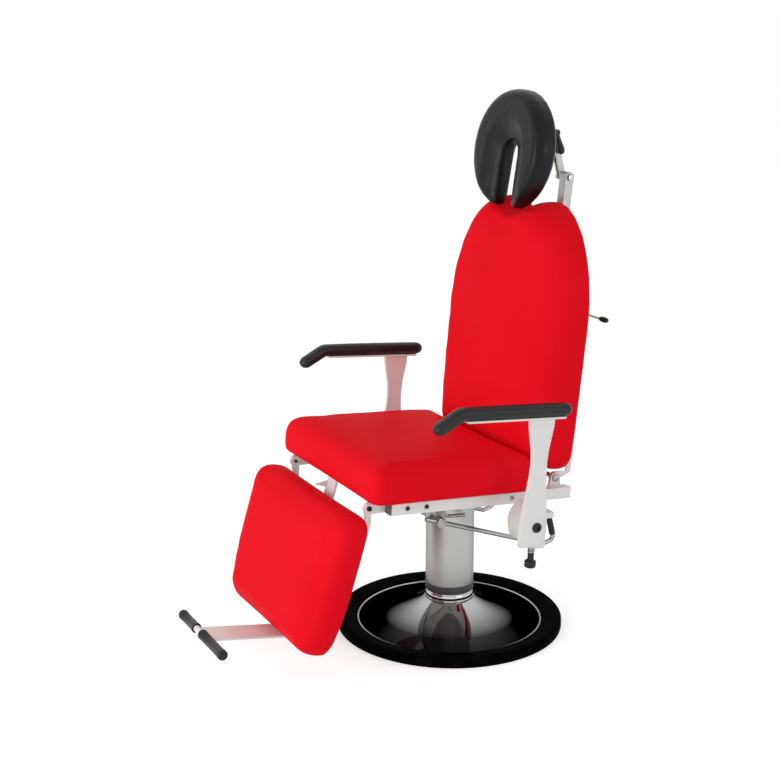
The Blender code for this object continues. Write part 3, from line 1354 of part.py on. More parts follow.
def build_plungers():
    for label, side in SIDES:
        frame = joint_frame("plunger_frame_" + label, seat_frame, (side * plunger_x, plunger_y, barrel_low))
        bm = bmesh.new()
        neck_low = -REST_GAP - PLUNGER_NECK_LENGTH
        knob_low = neck_low - PLUNGER_KNOB_LENGTH
        pin_high = BARREL_LENGTH + BRACKET_WALL + 0.010
        solid_round(bm, [(0, pin_high), (PLUNGER_PIN_RADIUS, pin_high),
                         (PLUNGER_PIN_RADIUS, -REST_GAP),
                         (PLUNGER_NECK_RADIUS, -REST_GAP), (PLUNGER_NECK_RADIUS, neck_low),
                         (PLUNGER_KNOB_RADIUS - 0.003, neck_low), (PLUNGER_KNOB_RADIUS, neck_low - 0.004),
                         (PLUNGER_KNOB_RADIUS, knob_low + 0.004), (PLUNGER_KNOB_RADIUS - 0.003, knob_low),
                         (0, knob_low)], 16)
        node("plunger_" + label, bm, frame, "black_rubber")


# Release lever under the seat, and the swivel lock lever

def build_release_lever():
    # The shaft carries a collar at each end, cross-drilled for its rod.
    bm = bmesh.new()
    across = Matrix.Rotation(math.pi / 2, 4, "Y")
    inner = LEVER_SPREAD - LEVER_COLLAR_LENGTH / 2
    outer = LEVER_SPREAD + LEVER_COLLAR_LENGTH / 2
    profile = [(0, outer), (LEVER_COLLAR_RADIUS - 0.002, outer), (LEVER_COLLAR_RADIUS, outer - 0.002),
               (LEVER_COLLAR_RADIUS, inner), (LEVER_SHAFT_RADIUS, inner)]
    profile += [(radius, -place) for radius, place in reversed(profile)]
    solid_round(bm, profile, 16, across)
    shaft = node("lever_shaft", bm, lever_frame, "chrome")

    for label, side in SIDES:
        bm = bmesh.new()
        drill = LEVER_ROD_RADIUS + REST_GAP
        place = Matrix.Translation((side * LEVER_SPREAD, 0, 0)) @ Matrix.Rotation(math.pi / 2, 4, "X")
        cylinder(bm, drill, -0.05, 0.05, ROD_FACETS, place)
        combine(shaft, tool("collar_drill_shape_" + label, bm, lever_frame), "DIFFERENCE")

        # The rod runs straight through its collar, levels out and turns up at its rear end.
        x = side * LEVER_SPREAD
        corner = Vector((x, LEVER_REACH, 0))
        level = math.radians(33.0)
        heel = corner + Vector((0, math.cos(level), math.sin(level))) * LEVER_HEEL
        turn = math.radians(124.0)
        tip = heel + Vector((0, math.cos(turn), math.sin(turn))) * LEVER_UPTURN
        path = fillet_path([(x, -LEVER_STUB, 0), corner, heel, tip], LEVER_BEND_RADIUS, 5)
        bm = bmesh.new()
        swept(bm, path, LEVER_ROD_RADIUS, ROD_FACETS)
        node("release_rod_" + label, bm, lever_frame, "chrome")

        # The grip is a sleeve with a closed end over the turned-up tip.
        bm = bmesh.new()
        way = (tip - path[-2]).normalized()
        low = tip - way * GRIP_LENGTH * 0.75
        aim = Matrix.Translation(low) @ way.to_track_quat("Z", "Y").to_matrix().to_4x4()
        reach = (tip - low).length
        bore = LEVER_ROD_RADIUS + REST_GAP
        wide = LEVER_ROD_RADIUS + GRIP_WALL
        solid_round(bm, [(0, reach + REST_GAP), (bore, reach + REST_GAP), (bore, 0), (wide, 0),
                         (wide, reach + 0.001), (wide - 0.003, reach + 0.004), (0, reach + 0.004)],
                    ROD_FACETS, aim)
        node("lever_grip_" + label, bm, lever_frame, "black_rubber")


def build_lock_lever():
    # A bent rod that turns a clamp screw under the hub plate.
    slope = math.tan(SEAT_TILT)
    under = (RAIL_SIZE + HUB_PLATE_THICKNESS + 2 * REST_GAP) / math.cos(SEAT_TILT)
    top = FRAME_HEIGHT - (LOCK_LEVER_PLACE[1] + LOCK_LEVER_RADIUS) * slope - under
    frame = joint_frame("lock_lever_frame", swivel_frame, (*LOCK_LEVER_PLACE, top))
    bm = bmesh.new()
    low = -LOCK_LEVER_DROP
    path = fillet_path([(0, 0, 0), (0, 0, low), (0, LOCK_LEVER_LENGTH, low - 0.006)], 0.012, 4)
    swept(bm, path, LOCK_LEVER_RADIUS, ROD_FACETS)
    node("swivel_lock_lever", bm, frame, "chrome")


lift_bore_depth = build_base()
build_column(lift_bore_depth)
build_rails()
build_hinges()
build_hub()
build_seat_pad()
build_backrest()
build_headrest_guide()
build_clamp_lever()
build_headrest()
build_legrest()
build_footrest()
build_brackets()
build_pivot_screws()
for arm_label, arm_side in SIDES:
    build_armrest(arm_label, arm_side)
build_plungers()
build_release_lever()
build_lock_lever()
bpy.context.view_layer.update()
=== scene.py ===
# %% [markdown]
# # An examination chair, dressed over its CAD frame
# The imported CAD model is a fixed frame: every piece made here rides on one of its bodies. The CAD
# solids are coarse on purpose, so round parts are turned again with more steps, plates get eased edges,
# and every cushion is stuffed. The camera stands where the photograph was taken from.

# %% Load the frame
import json
import math

import bmesh
import bpy
from mathutils import Matrix, Vector


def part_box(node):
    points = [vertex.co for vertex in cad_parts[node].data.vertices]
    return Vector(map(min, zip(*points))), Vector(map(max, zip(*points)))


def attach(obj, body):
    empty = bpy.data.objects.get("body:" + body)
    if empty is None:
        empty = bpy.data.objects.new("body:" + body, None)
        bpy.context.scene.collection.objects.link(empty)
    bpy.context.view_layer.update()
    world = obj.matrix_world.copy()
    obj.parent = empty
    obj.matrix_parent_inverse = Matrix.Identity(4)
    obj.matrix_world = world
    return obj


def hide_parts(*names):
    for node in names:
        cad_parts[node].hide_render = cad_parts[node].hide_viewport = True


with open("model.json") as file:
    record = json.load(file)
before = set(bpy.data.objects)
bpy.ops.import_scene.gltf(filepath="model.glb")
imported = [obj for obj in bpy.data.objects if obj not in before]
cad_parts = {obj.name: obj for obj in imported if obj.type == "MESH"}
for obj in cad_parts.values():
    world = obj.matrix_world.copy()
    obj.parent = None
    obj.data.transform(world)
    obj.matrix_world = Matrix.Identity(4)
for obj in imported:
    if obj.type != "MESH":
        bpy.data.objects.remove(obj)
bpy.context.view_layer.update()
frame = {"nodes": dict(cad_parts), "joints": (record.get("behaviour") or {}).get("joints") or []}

nodes = frame["nodes"]
joints = {joint["name"]: joint for joint in frame["joints"]}

# %% [markdown]
# ## Where things are
# The record gives each hinge's point and direction. A local frame there lets a piece be drawn straight
# and then laid into its place in one transform, so the finished object itself stays at the origin.

# %% Points and directions
SEAT_UP = -Vector(joints["left_plunger_pull"]["axis"])
BACK_UP = Vector(joints["head_post_slide"]["axis"])
LEG_UP = -Vector(joints["footrest_slide"]["axis"])
ACROSS = Vector((1.0, 0.0, 0.0))
SIDES = (("left", 1.0), ("right", -1.0))


def hinge_point(name):
    return Vector(joints[name]["pos_m"])


def local_frame(place, up):
    # X stays across the chair, Z follows the given direction.
    up = Vector(up).normalized()
    ahead = up.cross(ACROSS).normalized()
    turn = Matrix((ACROSS, ahead, up)).transposed().to_4x4()
    return Matrix.Translation(place) @ turn


def sideways(place, side=1.0):
    # Z points out of the chair's side.
    return Matrix.Translation(place) @ Matrix.Rotation(side * math.pi / 2, 4, "Y")


print("seat leans", round(math.degrees(SEAT_UP.angle((0, 0, 1))), 1), "degrees")

# %% [markdown]
# ## Finishes
# A finish is a small node tree on one Principled shader. Slow noise shifts the colour, a fine grain
# drives bump and roughness, and a face attribute marks the eased edges where paint wears first. All of
# them read Object coordinates, which are metres here, so a grain of 900 cells per metre is about a
# millimetre.

# %% Node tree helpers
WEAR = "eased_edge"


class Tree:
    def __init__(self, name):
        self.material = bpy.data.materials.new(name)
        self.material.use_nodes = True
        self.nodes = self.material.node_tree.nodes
        self.links = self.material.node_tree.links
        self.shader = self.nodes["Principled BSDF"]
        self.place = self.nodes.new("ShaderNodeTexCoord").outputs["Object"]

    def add(self, kind, inputs=None, **settings):
        made = self.nodes.new(kind)
        for key, value in settings.items():
            setattr(made, key, value)
        for key, value in (inputs or {}).items():
            if isinstance(value, bpy.types.NodeSocket):
                self.links.new(value, made.inputs[key])
            else:
                made.inputs[key].default_value = value
        return made

    def mapped(self, scale, turn=(0.0, 0.0, 0.0)):
        made = self.add("ShaderNodeMapping", {"Vector": self.place, "Rotation": turn,
                                              "Scale": scale})
        return made.outputs["Vector"]

    def noise(self, scale, detail=3.0, vector=None):
        made = self.add("ShaderNodeTexNoise", {"Vector": vector or self.place, "Scale": scale,
                                               "Detail": detail})
        return made.outputs["Fac"]

    def ranged(self, value, low, high, start=0.3, end=0.7):
        made = self.add("ShaderNodeMapRange", {"Value": value, "From Min": start, "From Max": end,
                                               "To Min": low, "To Max": high})
        return made.outputs["Result"]

    def mixed(self, share, first, second):
        made = self.add("ShaderNodeMix", data_type="RGBA")
        for key, value in ((0, share), (6, first), (7, second)):
            if isinstance(value, bpy.types.NodeSocket):
                self.links.new(value, made.inputs[key])
            else:
                made.inputs[key].default_value = value
        return made.outputs[2]

    def bumped(self, height, distance, strength=1.0, under=None):
        inputs = {"Height": height, "Distance": distance, "Strength": strength}
        if under is not None:
            inputs["Normal"] = under
        return self.add("ShaderNodeBump", inputs).outputs["Normal"]

    def to(self, socket, value):
        if isinstance(value, bpy.types.NodeSocket):
            self.links.new(value, self.shader.inputs[socket])
        else:
            self.shader.inputs[socket].default_value = value


def rgba(colour):
    return (*colour, 1.0)


print("node tree helpers ready")

# %% [markdown]
# ## Leatherette
# The covers are coated fabric: a pebbled grain about a millimetre across, with a low satin gloss. Cells
# from a smooth Voronoi pattern give the pebbles, and a slow noise keeps the red from being one flat
# value. The specular level is low, because a white room in a strong gloss would wash the colour out.

# %% Covers
def leatherette(name, dark, light, roughness, pebble, depth, gloss):
    tree = Tree(name)
    slow = tree.noise(5.0, 4.0)
    fine = tree.noise(140.0, 2.0)
    cells = tree.add("ShaderNodeTexVoronoi", {"Vector": tree.place, "Scale": pebble, "Smoothness": 0.6},
                     feature="SMOOTH_F1").outputs["Distance"]
    tone = tree.mixed(tree.ranged(slow, 0.0, 1.0), rgba(dark), rgba(light))
    # Painted shade: the creases between the pebbles are painted darker.
    crease = tree.ranged(cells, 0.0, 0.22, 0.55, 0.95)
    tree.to("Base Color", tree.mixed(crease, tone, rgba([c * 0.55 for c in dark])))
    tree.to("Roughness", tree.ranged(fine, roughness - 0.06, roughness + 0.07))
    wave = tree.bumped(fine, 0.0006, 0.25)
    tree.to("Normal", tree.bumped(cells, depth, 0.55, wave))
    tree.to("Specular IOR Level", gloss)
    return tree.material


red_cover = leatherette("red_leatherette", dark=(0.85, 0.006, 0.015), light=(0.90, 0.008, 0.020),
                        roughness=0.50, pebble=760.0, depth=0.00030, gloss=0.012)
black_cover = leatherette("black_leatherette", dark=(0.003, 0.003, 0.003), light=(0.004, 0.004, 0.004),
                          roughness=0.34, pebble=820.0, depth=0.00020, gloss=0.22)
print("covers", red_cover.name, black_cover.name)

# %% [markdown]
# ## Moulded black
# The arm pads, grips and sleeves are moulded rubber, the foot ring and the end caps are a dark plastic,
# and the rim of the base is a duller rubber. One flat black could stand for all three, but close up a
# moulding has a fine skin and turns paler where it is rubbed. Noise gives the skin, and the edge mark
# says where it is rubbed.

# %% Rubber and plastic
def moulded(name, colour, roughness, grain, depth, gloss):
    tree = Tree(name)
    slow = tree.noise(18.0, 3.0)
    skin = tree.noise(grain, 3.0)
    paler = rgba([c * 1.5 + 0.003 for c in colour])
    dull = tree.mixed(tree.ranged(slow, 0.0, 1.0), rgba(colour), paler)
    edge = tree.add("ShaderNodeAttribute", attribute_name=WEAR).outputs["Fac"]
    rub = tree.add("ShaderNodeMath", {0: edge, 1: tree.ranged(slow, 0.0, 0.35)}, operation="MULTIPLY")
    tree.to("Base Color", tree.mixed(rub.outputs[0], dull, rgba([c * 2.2 + 0.02 for c in colour])))
    tree.to("Roughness", tree.ranged(slow, roughness - 0.05, roughness + 0.08))
    tree.to("Normal", tree.bumped(skin, depth, 0.5))
    tree.to("Specular IOR Level", gloss)
    return tree.material


black_rubber = moulded("black_moulded_rubber", (0.008, 0.008, 0.008), roughness=0.40, grain=900.0,
                       depth=0.00010, gloss=0.30)
dark_plastic = moulded("dark_plastic", (0.075, 0.075, 0.078), roughness=0.38, grain=700.0,
                       depth=0.00008, gloss=0.40)
rim_rubber = moulded("black_rim_rubber", (0.0010, 0.0010, 0.0010), roughness=0.40, grain=600.0,
                     depth=0.00008, gloss=0.0015)
print("moulded finishes", black_rubber.name, dark_plastic.name, rim_rubber.name)

# %% [markdown]
# ## Powder coat
# The frame is powder coated. The powder melts into a faint orange peel, and it chips first along the
# edges. A fine noise makes the peel as bump, and specks of a coarser one show bare steel, but only
# where the edge mark is set.

# %% White paint
BARE_STEEL = (0.42, 0.42, 0.41)


def powder_coat(name, colour):
    tree = Tree(name)
    slow = tree.noise(7.0, 3.0)
    peel = tree.noise(430.0, 2.0)
    speck = tree.noise(260.0, 4.0)
    tone = tree.mixed(tree.ranged(slow, 0.0, 1.0), rgba([c * 0.965 for c in colour]), rgba(colour))
    edge = tree.add("ShaderNodeAttribute", attribute_name=WEAR).outputs["Fac"]
    chips = tree.ranged(speck, 0.0, 0.8, 0.62, 0.72)
    worn = tree.add("ShaderNodeMath", {0: edge, 1: chips}, operation="MULTIPLY").outputs[0]
    tree.to("Base Color", tree.mixed(worn, tone, rgba(BARE_STEEL)))
    tree.to("Roughness", tree.ranged(peel, 0.30, 0.42))
    tree.to("Normal", tree.bumped(peel, 0.00012, 0.5))
    return tree.material


white_coat = powder_coat("white_powder_coat", (0.86, 0.86, 0.85))
print("paint", white_coat.name)

# %% [markdown]
# ## Plywood
# The boards of the backrest and the legrest are birch plywood. The grain runs across the chair, so a
# noise is stretched that way, and a wave pattern lays thin glue lines between the plies. Both are turned
# by the lean of the board, so that they follow it.

# %% Birch boards
def plywood(name, up):
    tree = Tree(name)
    lean = Vector((0, 0, 1)).rotation_difference(Vector(up)).to_euler()
    turned_back = (-lean.x, 0.0, 0.0)
    grain = tree.noise(1.0, 5.0, tree.mapped((9.0, 160.0, 160.0), turned_back))
    across_plies = tree.mapped((0.0, 105.0, 0.0), turned_back)
    plies = tree.add("ShaderNodeTexWave", {"Vector": across_plies, "Scale": 1.0, "Distortion": 0.3},
                     bands_direction="Y").outputs["Fac"]
    face = tree.mixed(tree.ranged(grain, 0.0, 1.0), rgba((0.50, 0.35, 0.20)), rgba((0.68, 0.52, 0.33)))
    glue_line = tree.ranged(plies, 0.0, 0.22, 0.4, 0.6)
    tree.to("Base Color", tree.mixed(glue_line, face, rgba((0.30, 0.19, 0.10))))
    tree.to("Roughness", tree.ranged(grain, 0.5, 0.68))
    tree.to("Normal", tree.bumped(grain, 0.0002, 0.4))
    return tree.material


back_ply = plywood("birch_ply_back", BACK_UP)
leg_ply = plywood("birch_ply_leg", LEG_UP)
print("boards", back_ply.name, leg_ply.name)

# %% [markdown]
# ## Bare metal
# The column is satin steel, polished round and round, so its noise is squeezed along the height into
# fine rings. Chrome is nearly clean, with faint smudges in its roughness. The dish of the base is a
# polished metal: it mirrors the chair where it slopes towards the eye. Towards its edge its colour is
# painted darker with the distance from the axis, a painted shade that turns it black, and a black edge
# tint paints shade where the eye meets it at a low angle.

# %% Metals
# Radii over which the dish's colour fades into a painted shade.
PAINTED_DISH_SHADE = (0.080, 0.180)


def metal(name, colour, roughness, squeeze, depth, grazing_shade_tint, painted_edge_shade=None):
    tree = Tree(name)
    lines = tree.noise(1.0, 4.0, tree.mapped(squeeze))
    smudge = tree.noise(22.0, 3.0)
    tone = tree.mixed(tree.ranged(smudge, 0.0, 1.0), rgba([c * 0.93 for c in colour]), rgba(colour))
    # Painted shade: the colour goes dark with the distance from the axis, so the dish's edge shows black.
    if painted_edge_shade is not None:
        out = tree.add("ShaderNodeVectorMath", {0: tree.mapped((1.0, 1.0, 0.0))}, operation="LENGTH")
        tone = tree.mixed(tree.ranged(out.outputs["Value"], 0.0, 1.0, *PAINTED_DISH_SHADE), tone, rgba(painted_edge_shade))
    tree.to("Base Color", tone)
    # The edge tint is painted shade: it darkens each metal's reflection where the eye meets it at a low
    # angle, most on the chrome, the dish and its bead.
    tree.to("Specular Tint", (grazing_shade_tint, grazing_shade_tint, grazing_shade_tint, 1.0))
    tree.to("Metallic", 1.0)
    tree.to("Roughness", tree.ranged(smudge, roughness * 0.85, roughness * 1.25))
    tree.to("Normal", tree.bumped(lines, depth, 0.3))
    return tree.material


satin_steel = metal("satin_steel", (0.47, 0.475, 0.46), roughness=0.33, squeeze=(6.0, 6.0, 1300.0),
                    depth=0.00004, grazing_shade_tint=0.5)
bright_chrome = metal("bright_chrome", (0.62, 0.615, 0.61), roughness=0.09, squeeze=(40.0, 40.0, 40.0),
                      depth=0.00001, grazing_shade_tint=0.12)
plain_steel = metal("plain_steel", (0.40, 0.40, 0.40), roughness=0.38, squeeze=(60.0, 60.0, 700.0),
                    depth=0.00004, grazing_shade_tint=0.4)
black_steel = metal("blackened_steel", (0.045, 0.045, 0.048), roughness=0.42, squeeze=(60.0, 60.0, 60.0),
                    depth=0.00003, grazing_shade_tint=0.3)
drawn_steel = metal("drawn_steel", (0.36, 0.36, 0.355), roughness=0.24, squeeze=(60.0, 60.0, 60.0),
                    depth=0.00003, grazing_shade_tint=0.3)
dish_mirror_painted_shade = metal("polished_dish_painted_shade", (0.50, 0.50, 0.50), roughness=0.035, squeeze=(3.0, 3.0, 3.0),
                    depth=0.00002, grazing_shade_tint=0.0, painted_edge_shade=(0.05, 0.05, 0.05))
bead_mirror = metal("polished_bead", (0.50, 0.50, 0.50), roughness=0.05, squeeze=(3.0, 3.0, 3.0),
                    depth=0.00001, grazing_shade_tint=0.0)
print("metals ready")

# %% [markdown]
# ## Making a piece
# Every finished mesh goes through one function. It makes the object at the origin, shades it smooth
# except at sharp edges, hands it its finish, hides the CAD node that it stands for, and lets it ride on
# its body.

# %% One way to finish a piece
def make_piece(name, bm, body, finish, stands_for=(), crease=32.0, weighted=False):
    mesh = bpy.data.meshes.new(name)
    bm.to_mesh(mesh)
    bm.free()
    mesh.shade_smooth()
    mesh.set_sharp_from_angle(angle=math.radians(crease))
    made = bpy.data.objects.new(name, mesh)
    bpy.context.scene.collection.objects.link(made)
    mesh.materials.append(finish)
    if weighted:
        made.modifiers.new("level_faces", "WEIGHTED_NORMAL").keep_sharp = True
    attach(made, body)
    if stands_for:
        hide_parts(*stands_for)
    return made


print("finishing a piece is ready")

# %% [markdown]
# ## Shapes from the lathe
# Most of the hardware is turned, and the plates are eased along their edges so that they don't look cut
# from paper. A modifier could do both, but the operators leave a plain mesh that can be joined, moved
# and checked at once. The faces of an eased edge get the mark that the paint's wear reads.

# %% Ease, turn and join
def soften(bm, width, angle=40.0):
    # Rounds every sharp edge, and marks the new faces as places of wear.
    mark = bm.faces.layers.float.get(WEAR) or bm.faces.layers.float.new(WEAR)
    limit = math.radians(angle)
    sharp = [edge for edge in bm.edges if edge.is_manifold and edge.calc_face_angle(0.0) > limit]
    done = bmesh.ops.bevel(bm, geom=sharp, offset=width, offset_type="OFFSET", affect="EDGES",
                           segments=2, profile=0.5, material=-1, clamp_overlap=True)
    for face in done["faces"]:
        face[mark] = 1.0


def turned(outline, place=Matrix(), steps=64, closed=False):
    # Spins a profile of (radius, height) points about Z and lays it in place.
    bm = bmesh.new()
    verts = [bm.verts.new((radius, 0.0, height)) for radius, height in outline]
    pairs = list(zip(verts, verts[1:])) + ([(verts[-1], verts[0])] if closed else [])
    edges = [bm.edges.new(pair) for pair in pairs]
    bmesh.ops.spin(bm, geom=verts + edges, cent=(0, 0, 0), axis=(0, 0, 1), angle=2 * math.pi,
                   steps=steps, use_merge=True)
    bmesh.ops.remove_doubles(bm, verts=bm.verts, dist=1e-6)
    bmesh.ops.recalc_face_normals(bm, faces=bm.faces)
    bmesh.ops.transform(bm, matrix=place, verts=bm.verts)
    return bm


def joined(first, *others):
    # Adds the meshes of other bmeshes to the first one.
    for other in others:
        held = bpy.data.meshes.new("held")
        other.to_mesh(held)
        other.free()
        first.from_mesh(held)
        bpy.data.meshes.remove(held)
    return first


def quarter(radius, height, size, start, steps=6):
    # A round corner of a profile, from the start angle on through ninety degrees.
    turns = [math.radians(start + 90.0 * i / steps) for i in range(steps + 1)]
    return [(radius + size * math.cos(a), height + size * math.sin(a)) for a in turns]


print("easing and turning helpers ready")

# %% [markdown]
# ## The base
# On the real chair a black rubber rim runs round a polished dish that flares up to the column. Both are
# bodies of revolution, so a profile and one spin give them exactly. The dish gets a small rolled bead
# at its edge, because that bead is what draws the bright arcs in the photograph.

# %% Rim
FIT_GAP = 0.0003
ring_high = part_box("base_trim_ring")[1]
dish_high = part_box("base_dish")[1]
rim_out = ring_high.x
rim_in = dish_high.x + FIT_GAP
rim_top = ring_high.z
rim = [(rim_in, 0.0005), (rim_out - 0.003, 0.0), (rim_out - 0.0008, 0.001), (rim_out, 0.004)]
rim += quarter(rim_out - 0.008, rim_top - 0.008, 0.008, 0.0)
rim += [((rim_in + rim_out) / 2, rim_top - 0.001)]
rim += quarter(rim_in + 0.003, rim_top - 0.0085, 0.003, 90.0)
make_piece("base_rim", turned(rim, steps=160, closed=True), "base", rim_rubber,
           ["base_trim_ring"])
print("rim is", round(2 * rim_out, 3), "m across")

# %% Dish and bead
DISH_DROP = 0.012
DISH_SHEET = 0.0022
LIFT_BORE = 0.0527
BEAD = 0.0032
BEAD_STEPS = 20
FLARE_STEPS = 32
collar_low, collar_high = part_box("base_collar")
dish_edge = dish_high.x
dish_top = dish_high.z
dish_floor = rim_top - DISH_DROP
neck = collar_high.x + 0.0018
bead_at = (dish_edge - BEAD, dish_floor + 0.001)
level, pull, end = (bead_at[0] - BEAD, dish_floor), (0.118, dish_floor + 0.0149), (neck, dish_top)
flare = []
for i in range(FLARE_STEPS + 1):
    t = i / FLARE_STEPS
    flare.append(tuple(a * (1 - t) ** 2 + b * 2 * t * (1 - t) + c * t ** 2
                       for a, b, c in zip(level, pull, end)))
dish = [(dish_edge, dish_floor - 0.0008)] + flare
dish += [(neck - 0.0012, dish_top), (LIFT_BORE, dish_top), (LIFT_BORE, dish_top - 0.002)]
dish += [(r, z - DISH_SHEET) for r, z in reversed(flare)] + [(dish_edge, dish_floor - 0.003)]
make_piece("base_dish_polished", turned(dish, steps=160, closed=True), "base", dish_mirror_painted_shade,
           ["base_dish"], crease=50.0)
bead = [(bead_at[0] + BEAD * math.cos(a), bead_at[1] + BEAD * 0.7 * math.sin(a))
        for a in [2 * math.pi * i / BEAD_STEPS for i in range(BEAD_STEPS)]]
make_piece("base_dish_bead", turned(bead, steps=160, closed=True), "base", bead_mirror)
print("dish rises", round((dish_top - dish_floor) * 1000), "mm to the column")

# %% Collar
low, high, out = collar_low.z, collar_high.z, collar_high.x
collar = [(LIFT_BORE, low), (out - 0.0022, low), (out - 0.0012, low + 0.0008), (out - 0.0006, low + 0.003)]
collar += [(out - 0.0016 * abs(i / 5 - 1) ** 2, low + (high - low) * (0.2 + 0.06 * i)) for i in range(11)]
collar += [(out - 0.0008, high - 0.003), (out - 0.0014, high - 0.0006), (out - 0.0026, high),
           (LIFT_BORE, high)]
make_piece("base_collar_chrome", turned(collar, steps=96, closed=True), "base", bright_chrome,
           ["base_collar"])
print("collar is", round((high - low) * 1000), "mm high")

# %% [markdown]
# ## The column
# A satin steel tube stands on a dark foot ring, under a chrome cap. Seen close, such a tube has a
# slight chamfer at each end, and the foot ring has a groove where its seal sits.

# %% Tube
TUBE_WALL = 0.003
tube_low, tube_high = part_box("column_tube")
radius = tube_high.x
inner = radius - TUBE_WALL
tube = [(inner, tube_low.z), (radius - 0.0008, tube_low.z), (radius, tube_low.z + 0.0008),
        (radius, tube_high.z - 0.0008), (radius - 0.0008, tube_high.z), (inner, tube_high.z)]
make_piece("column_tube_satin", turned(tube, steps=128, closed=True), "column", satin_steel,
           ["column_tube"])
tube_height = tube_high.z - tube_low.z
print("column is", round(2 * radius * 1000), "mm across and", round(tube_height * 1000), "mm high")

# %% Foot ring
foot_low, foot_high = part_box("column_foot_ring")
ring_out = foot_high.x
ring_top = tube_low.z - FIT_GAP
spigot = inner - FIT_GAP
foot = [(LIFT_BORE, foot_low.z), (ring_out - 0.0025, foot_low.z), (ring_out - 0.0008, foot_low.z + 0.0008),
        (ring_out, foot_low.z + 0.0025), (ring_out, ring_top - 0.0060),
        (ring_out - 0.0009, ring_top - 0.0054), (ring_out - 0.0009, ring_top - 0.0040),
        (ring_out, ring_top - 0.0034), (ring_out, ring_top - 0.0008), (ring_out - 0.0008, ring_top),
        (spigot, ring_top), (spigot, foot_high.z), (LIFT_BORE, foot_high.z)]
make_piece("column_foot_ring_dark", turned(foot, steps=128, closed=True), "column",
           dark_plastic, ["column_foot_ring"])
print("foot ring is", round(2 * ring_out * 1000), "mm across")

# %% Cap
SPINDLE = 0.016
CAP_RISE = 0.011
cap_low, cap_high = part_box("column_cap")
lid = tube_high.z + FIT_GAP
cap_face = lid + CAP_RISE
cap = [(0, cap_high.z), (SPINDLE - 0.001, cap_high.z), (SPINDLE, cap_high.z - 0.001), (SPINDLE, cap_face)]
cap += [(radius - 0.0024, cap_face), (radius - 0.0007, cap_face - 0.0007), (radius, cap_face - 0.0024)]
cap += [(radius, lid + 0.0008), (radius - 0.0008, lid), (spigot, lid), (spigot, cap_low.z), (0, cap_low.z)]
make_piece("column_cap_chrome", turned(cap, steps=96), "column", bright_chrome, ["column_cap"])
print("cap stands", round((cap_high.z - lid) * 1000), "mm above the tube")

# %% [markdown]
# ## Plates, tubes and brackets
# The flat parts of the CAD already have the right outline and holes, so a copy of each mesh is merged,
# its flat triangles are dissolved into whole faces, and its sharp edges are bevelled. A weighted normal
# keeps the broad faces level, so light breaks only along the eased edge, as it does on coated steel.

# %% Ease the edges of the frame
def eased(node, width):
    bm = bmesh.new()
    bm.from_mesh(nodes[node].data)
    bmesh.ops.remove_doubles(bm, verts=bm.verts, dist=1e-5)
    bmesh.ops.dissolve_limit(bm, angle_limit=math.radians(1.5), verts=bm.verts, edges=bm.edges)
    soften(bm, width)
    return bm


EASED = (
    ("seat", "white_paint", white_coat, 0.0008,
     "swivel_hub rail_left rail_right cross_tube_front cross_tube_rear armrest_bracket_left"
     " armrest_bracket_right"),
    ("seat", "dark_plastic", dark_plastic, 0.0006, "rail_end_cap_left rail_end_cap_right"),
    ("seat", "white_paint", white_coat, 0.0010, "seat_board"),
    ("left_armrest", "white_paint", white_coat, 0.0012, "armrest_post_left"),
    ("right_armrest", "white_paint", white_coat, 0.0012, "armrest_post_right"),
    ("backrest", "white_paint", white_coat, 0.0008, "back_plate_left back_plate_right headrest_guide"),
    ("backrest", "birch_ply", back_ply, 0.0010, "backrest_board"),
    ("head_post", "satin_metal", satin_steel, 0.0012, "headrest_post"),
    ("head_yoke", "satin_metal", satin_steel, 0.0008, "headrest_yoke"),
    ("headrest", "satin_metal", satin_steel, 0.0008, "headrest_plate"),
    ("legrest", "white_paint", white_coat, 0.0010,
     "legrest_spine legrest_arm_left legrest_arm_right footrest_guide"),
    ("legrest", "birch_ply", leg_ply, 0.0010, "legrest_board"),
    ("footrest", "white_paint", white_coat, 0.0008, "footrest_stem"),
)
for body, slot, finish, width, names in EASED:
    for node in names.split():
        made = make_piece(node + "_eased", eased(node, width), body, finish, [node], weighted=True)
        print(made.name, len(made.data.polygons), "faces")

# %% [markdown]
# ## Screws
# Socket screws hold the hinges, the brackets and the rails. A head is a turned dome with an open top.
# Its hexagon is a circle of six sides, subdivided until it has as many points as the dome's rim, so the
# two loops can be bridged; the hexagon is then extruded down and closed.

# %% A socket head
def socket_head(place, head, height, shank=0.0, shank_end=0.0, sides=24):
    if shank:
        outline = [(0.0, shank_end), (shank, shank_end), (shank, 0.0), (head, 0.0)]
    else:
        outline = [(0.0, 0.0), (head, 0.0)]
    outline += [(head, height * 0.35), (head * 0.96, height * 0.62), (head * 0.84, height * 0.88),
                (head * 0.66, height)]
    bm = turned(outline, steps=sides)
    rim = [edge for edge in bm.edges if edge.is_boundary]
    hexagon = bmesh.ops.create_circle(bm, segments=6, radius=head * 0.46,
                                      matrix=Matrix.Translation((0, 0, height)))["verts"]
    flats = list({edge for vert in hexagon for edge in vert.link_edges})
    bmesh.ops.subdivide_edges(bm, edges=flats, cuts=sides // 6 - 1)
    flats = [edge for edge in bm.edges if edge.is_wire]
    bmesh.ops.bridge_loops(bm, edges=rim + flats)
    sunk = bmesh.ops.extrude_edge_only(bm, edges=flats)["geom"]
    down = [part for part in sunk if isinstance(part, bmesh.types.BMVert)]
    bmesh.ops.translate(bm, verts=down, vec=(0, 0, -height * 0.55))
    bmesh.ops.holes_fill(bm, edges=[edge for edge in bm.edges if edge.is_boundary], sides=0)
    bmesh.ops.recalc_face_normals(bm, faces=bm.faces)
    bmesh.ops.transform(bm, matrix=place, verts=bm.verts)
    return bm


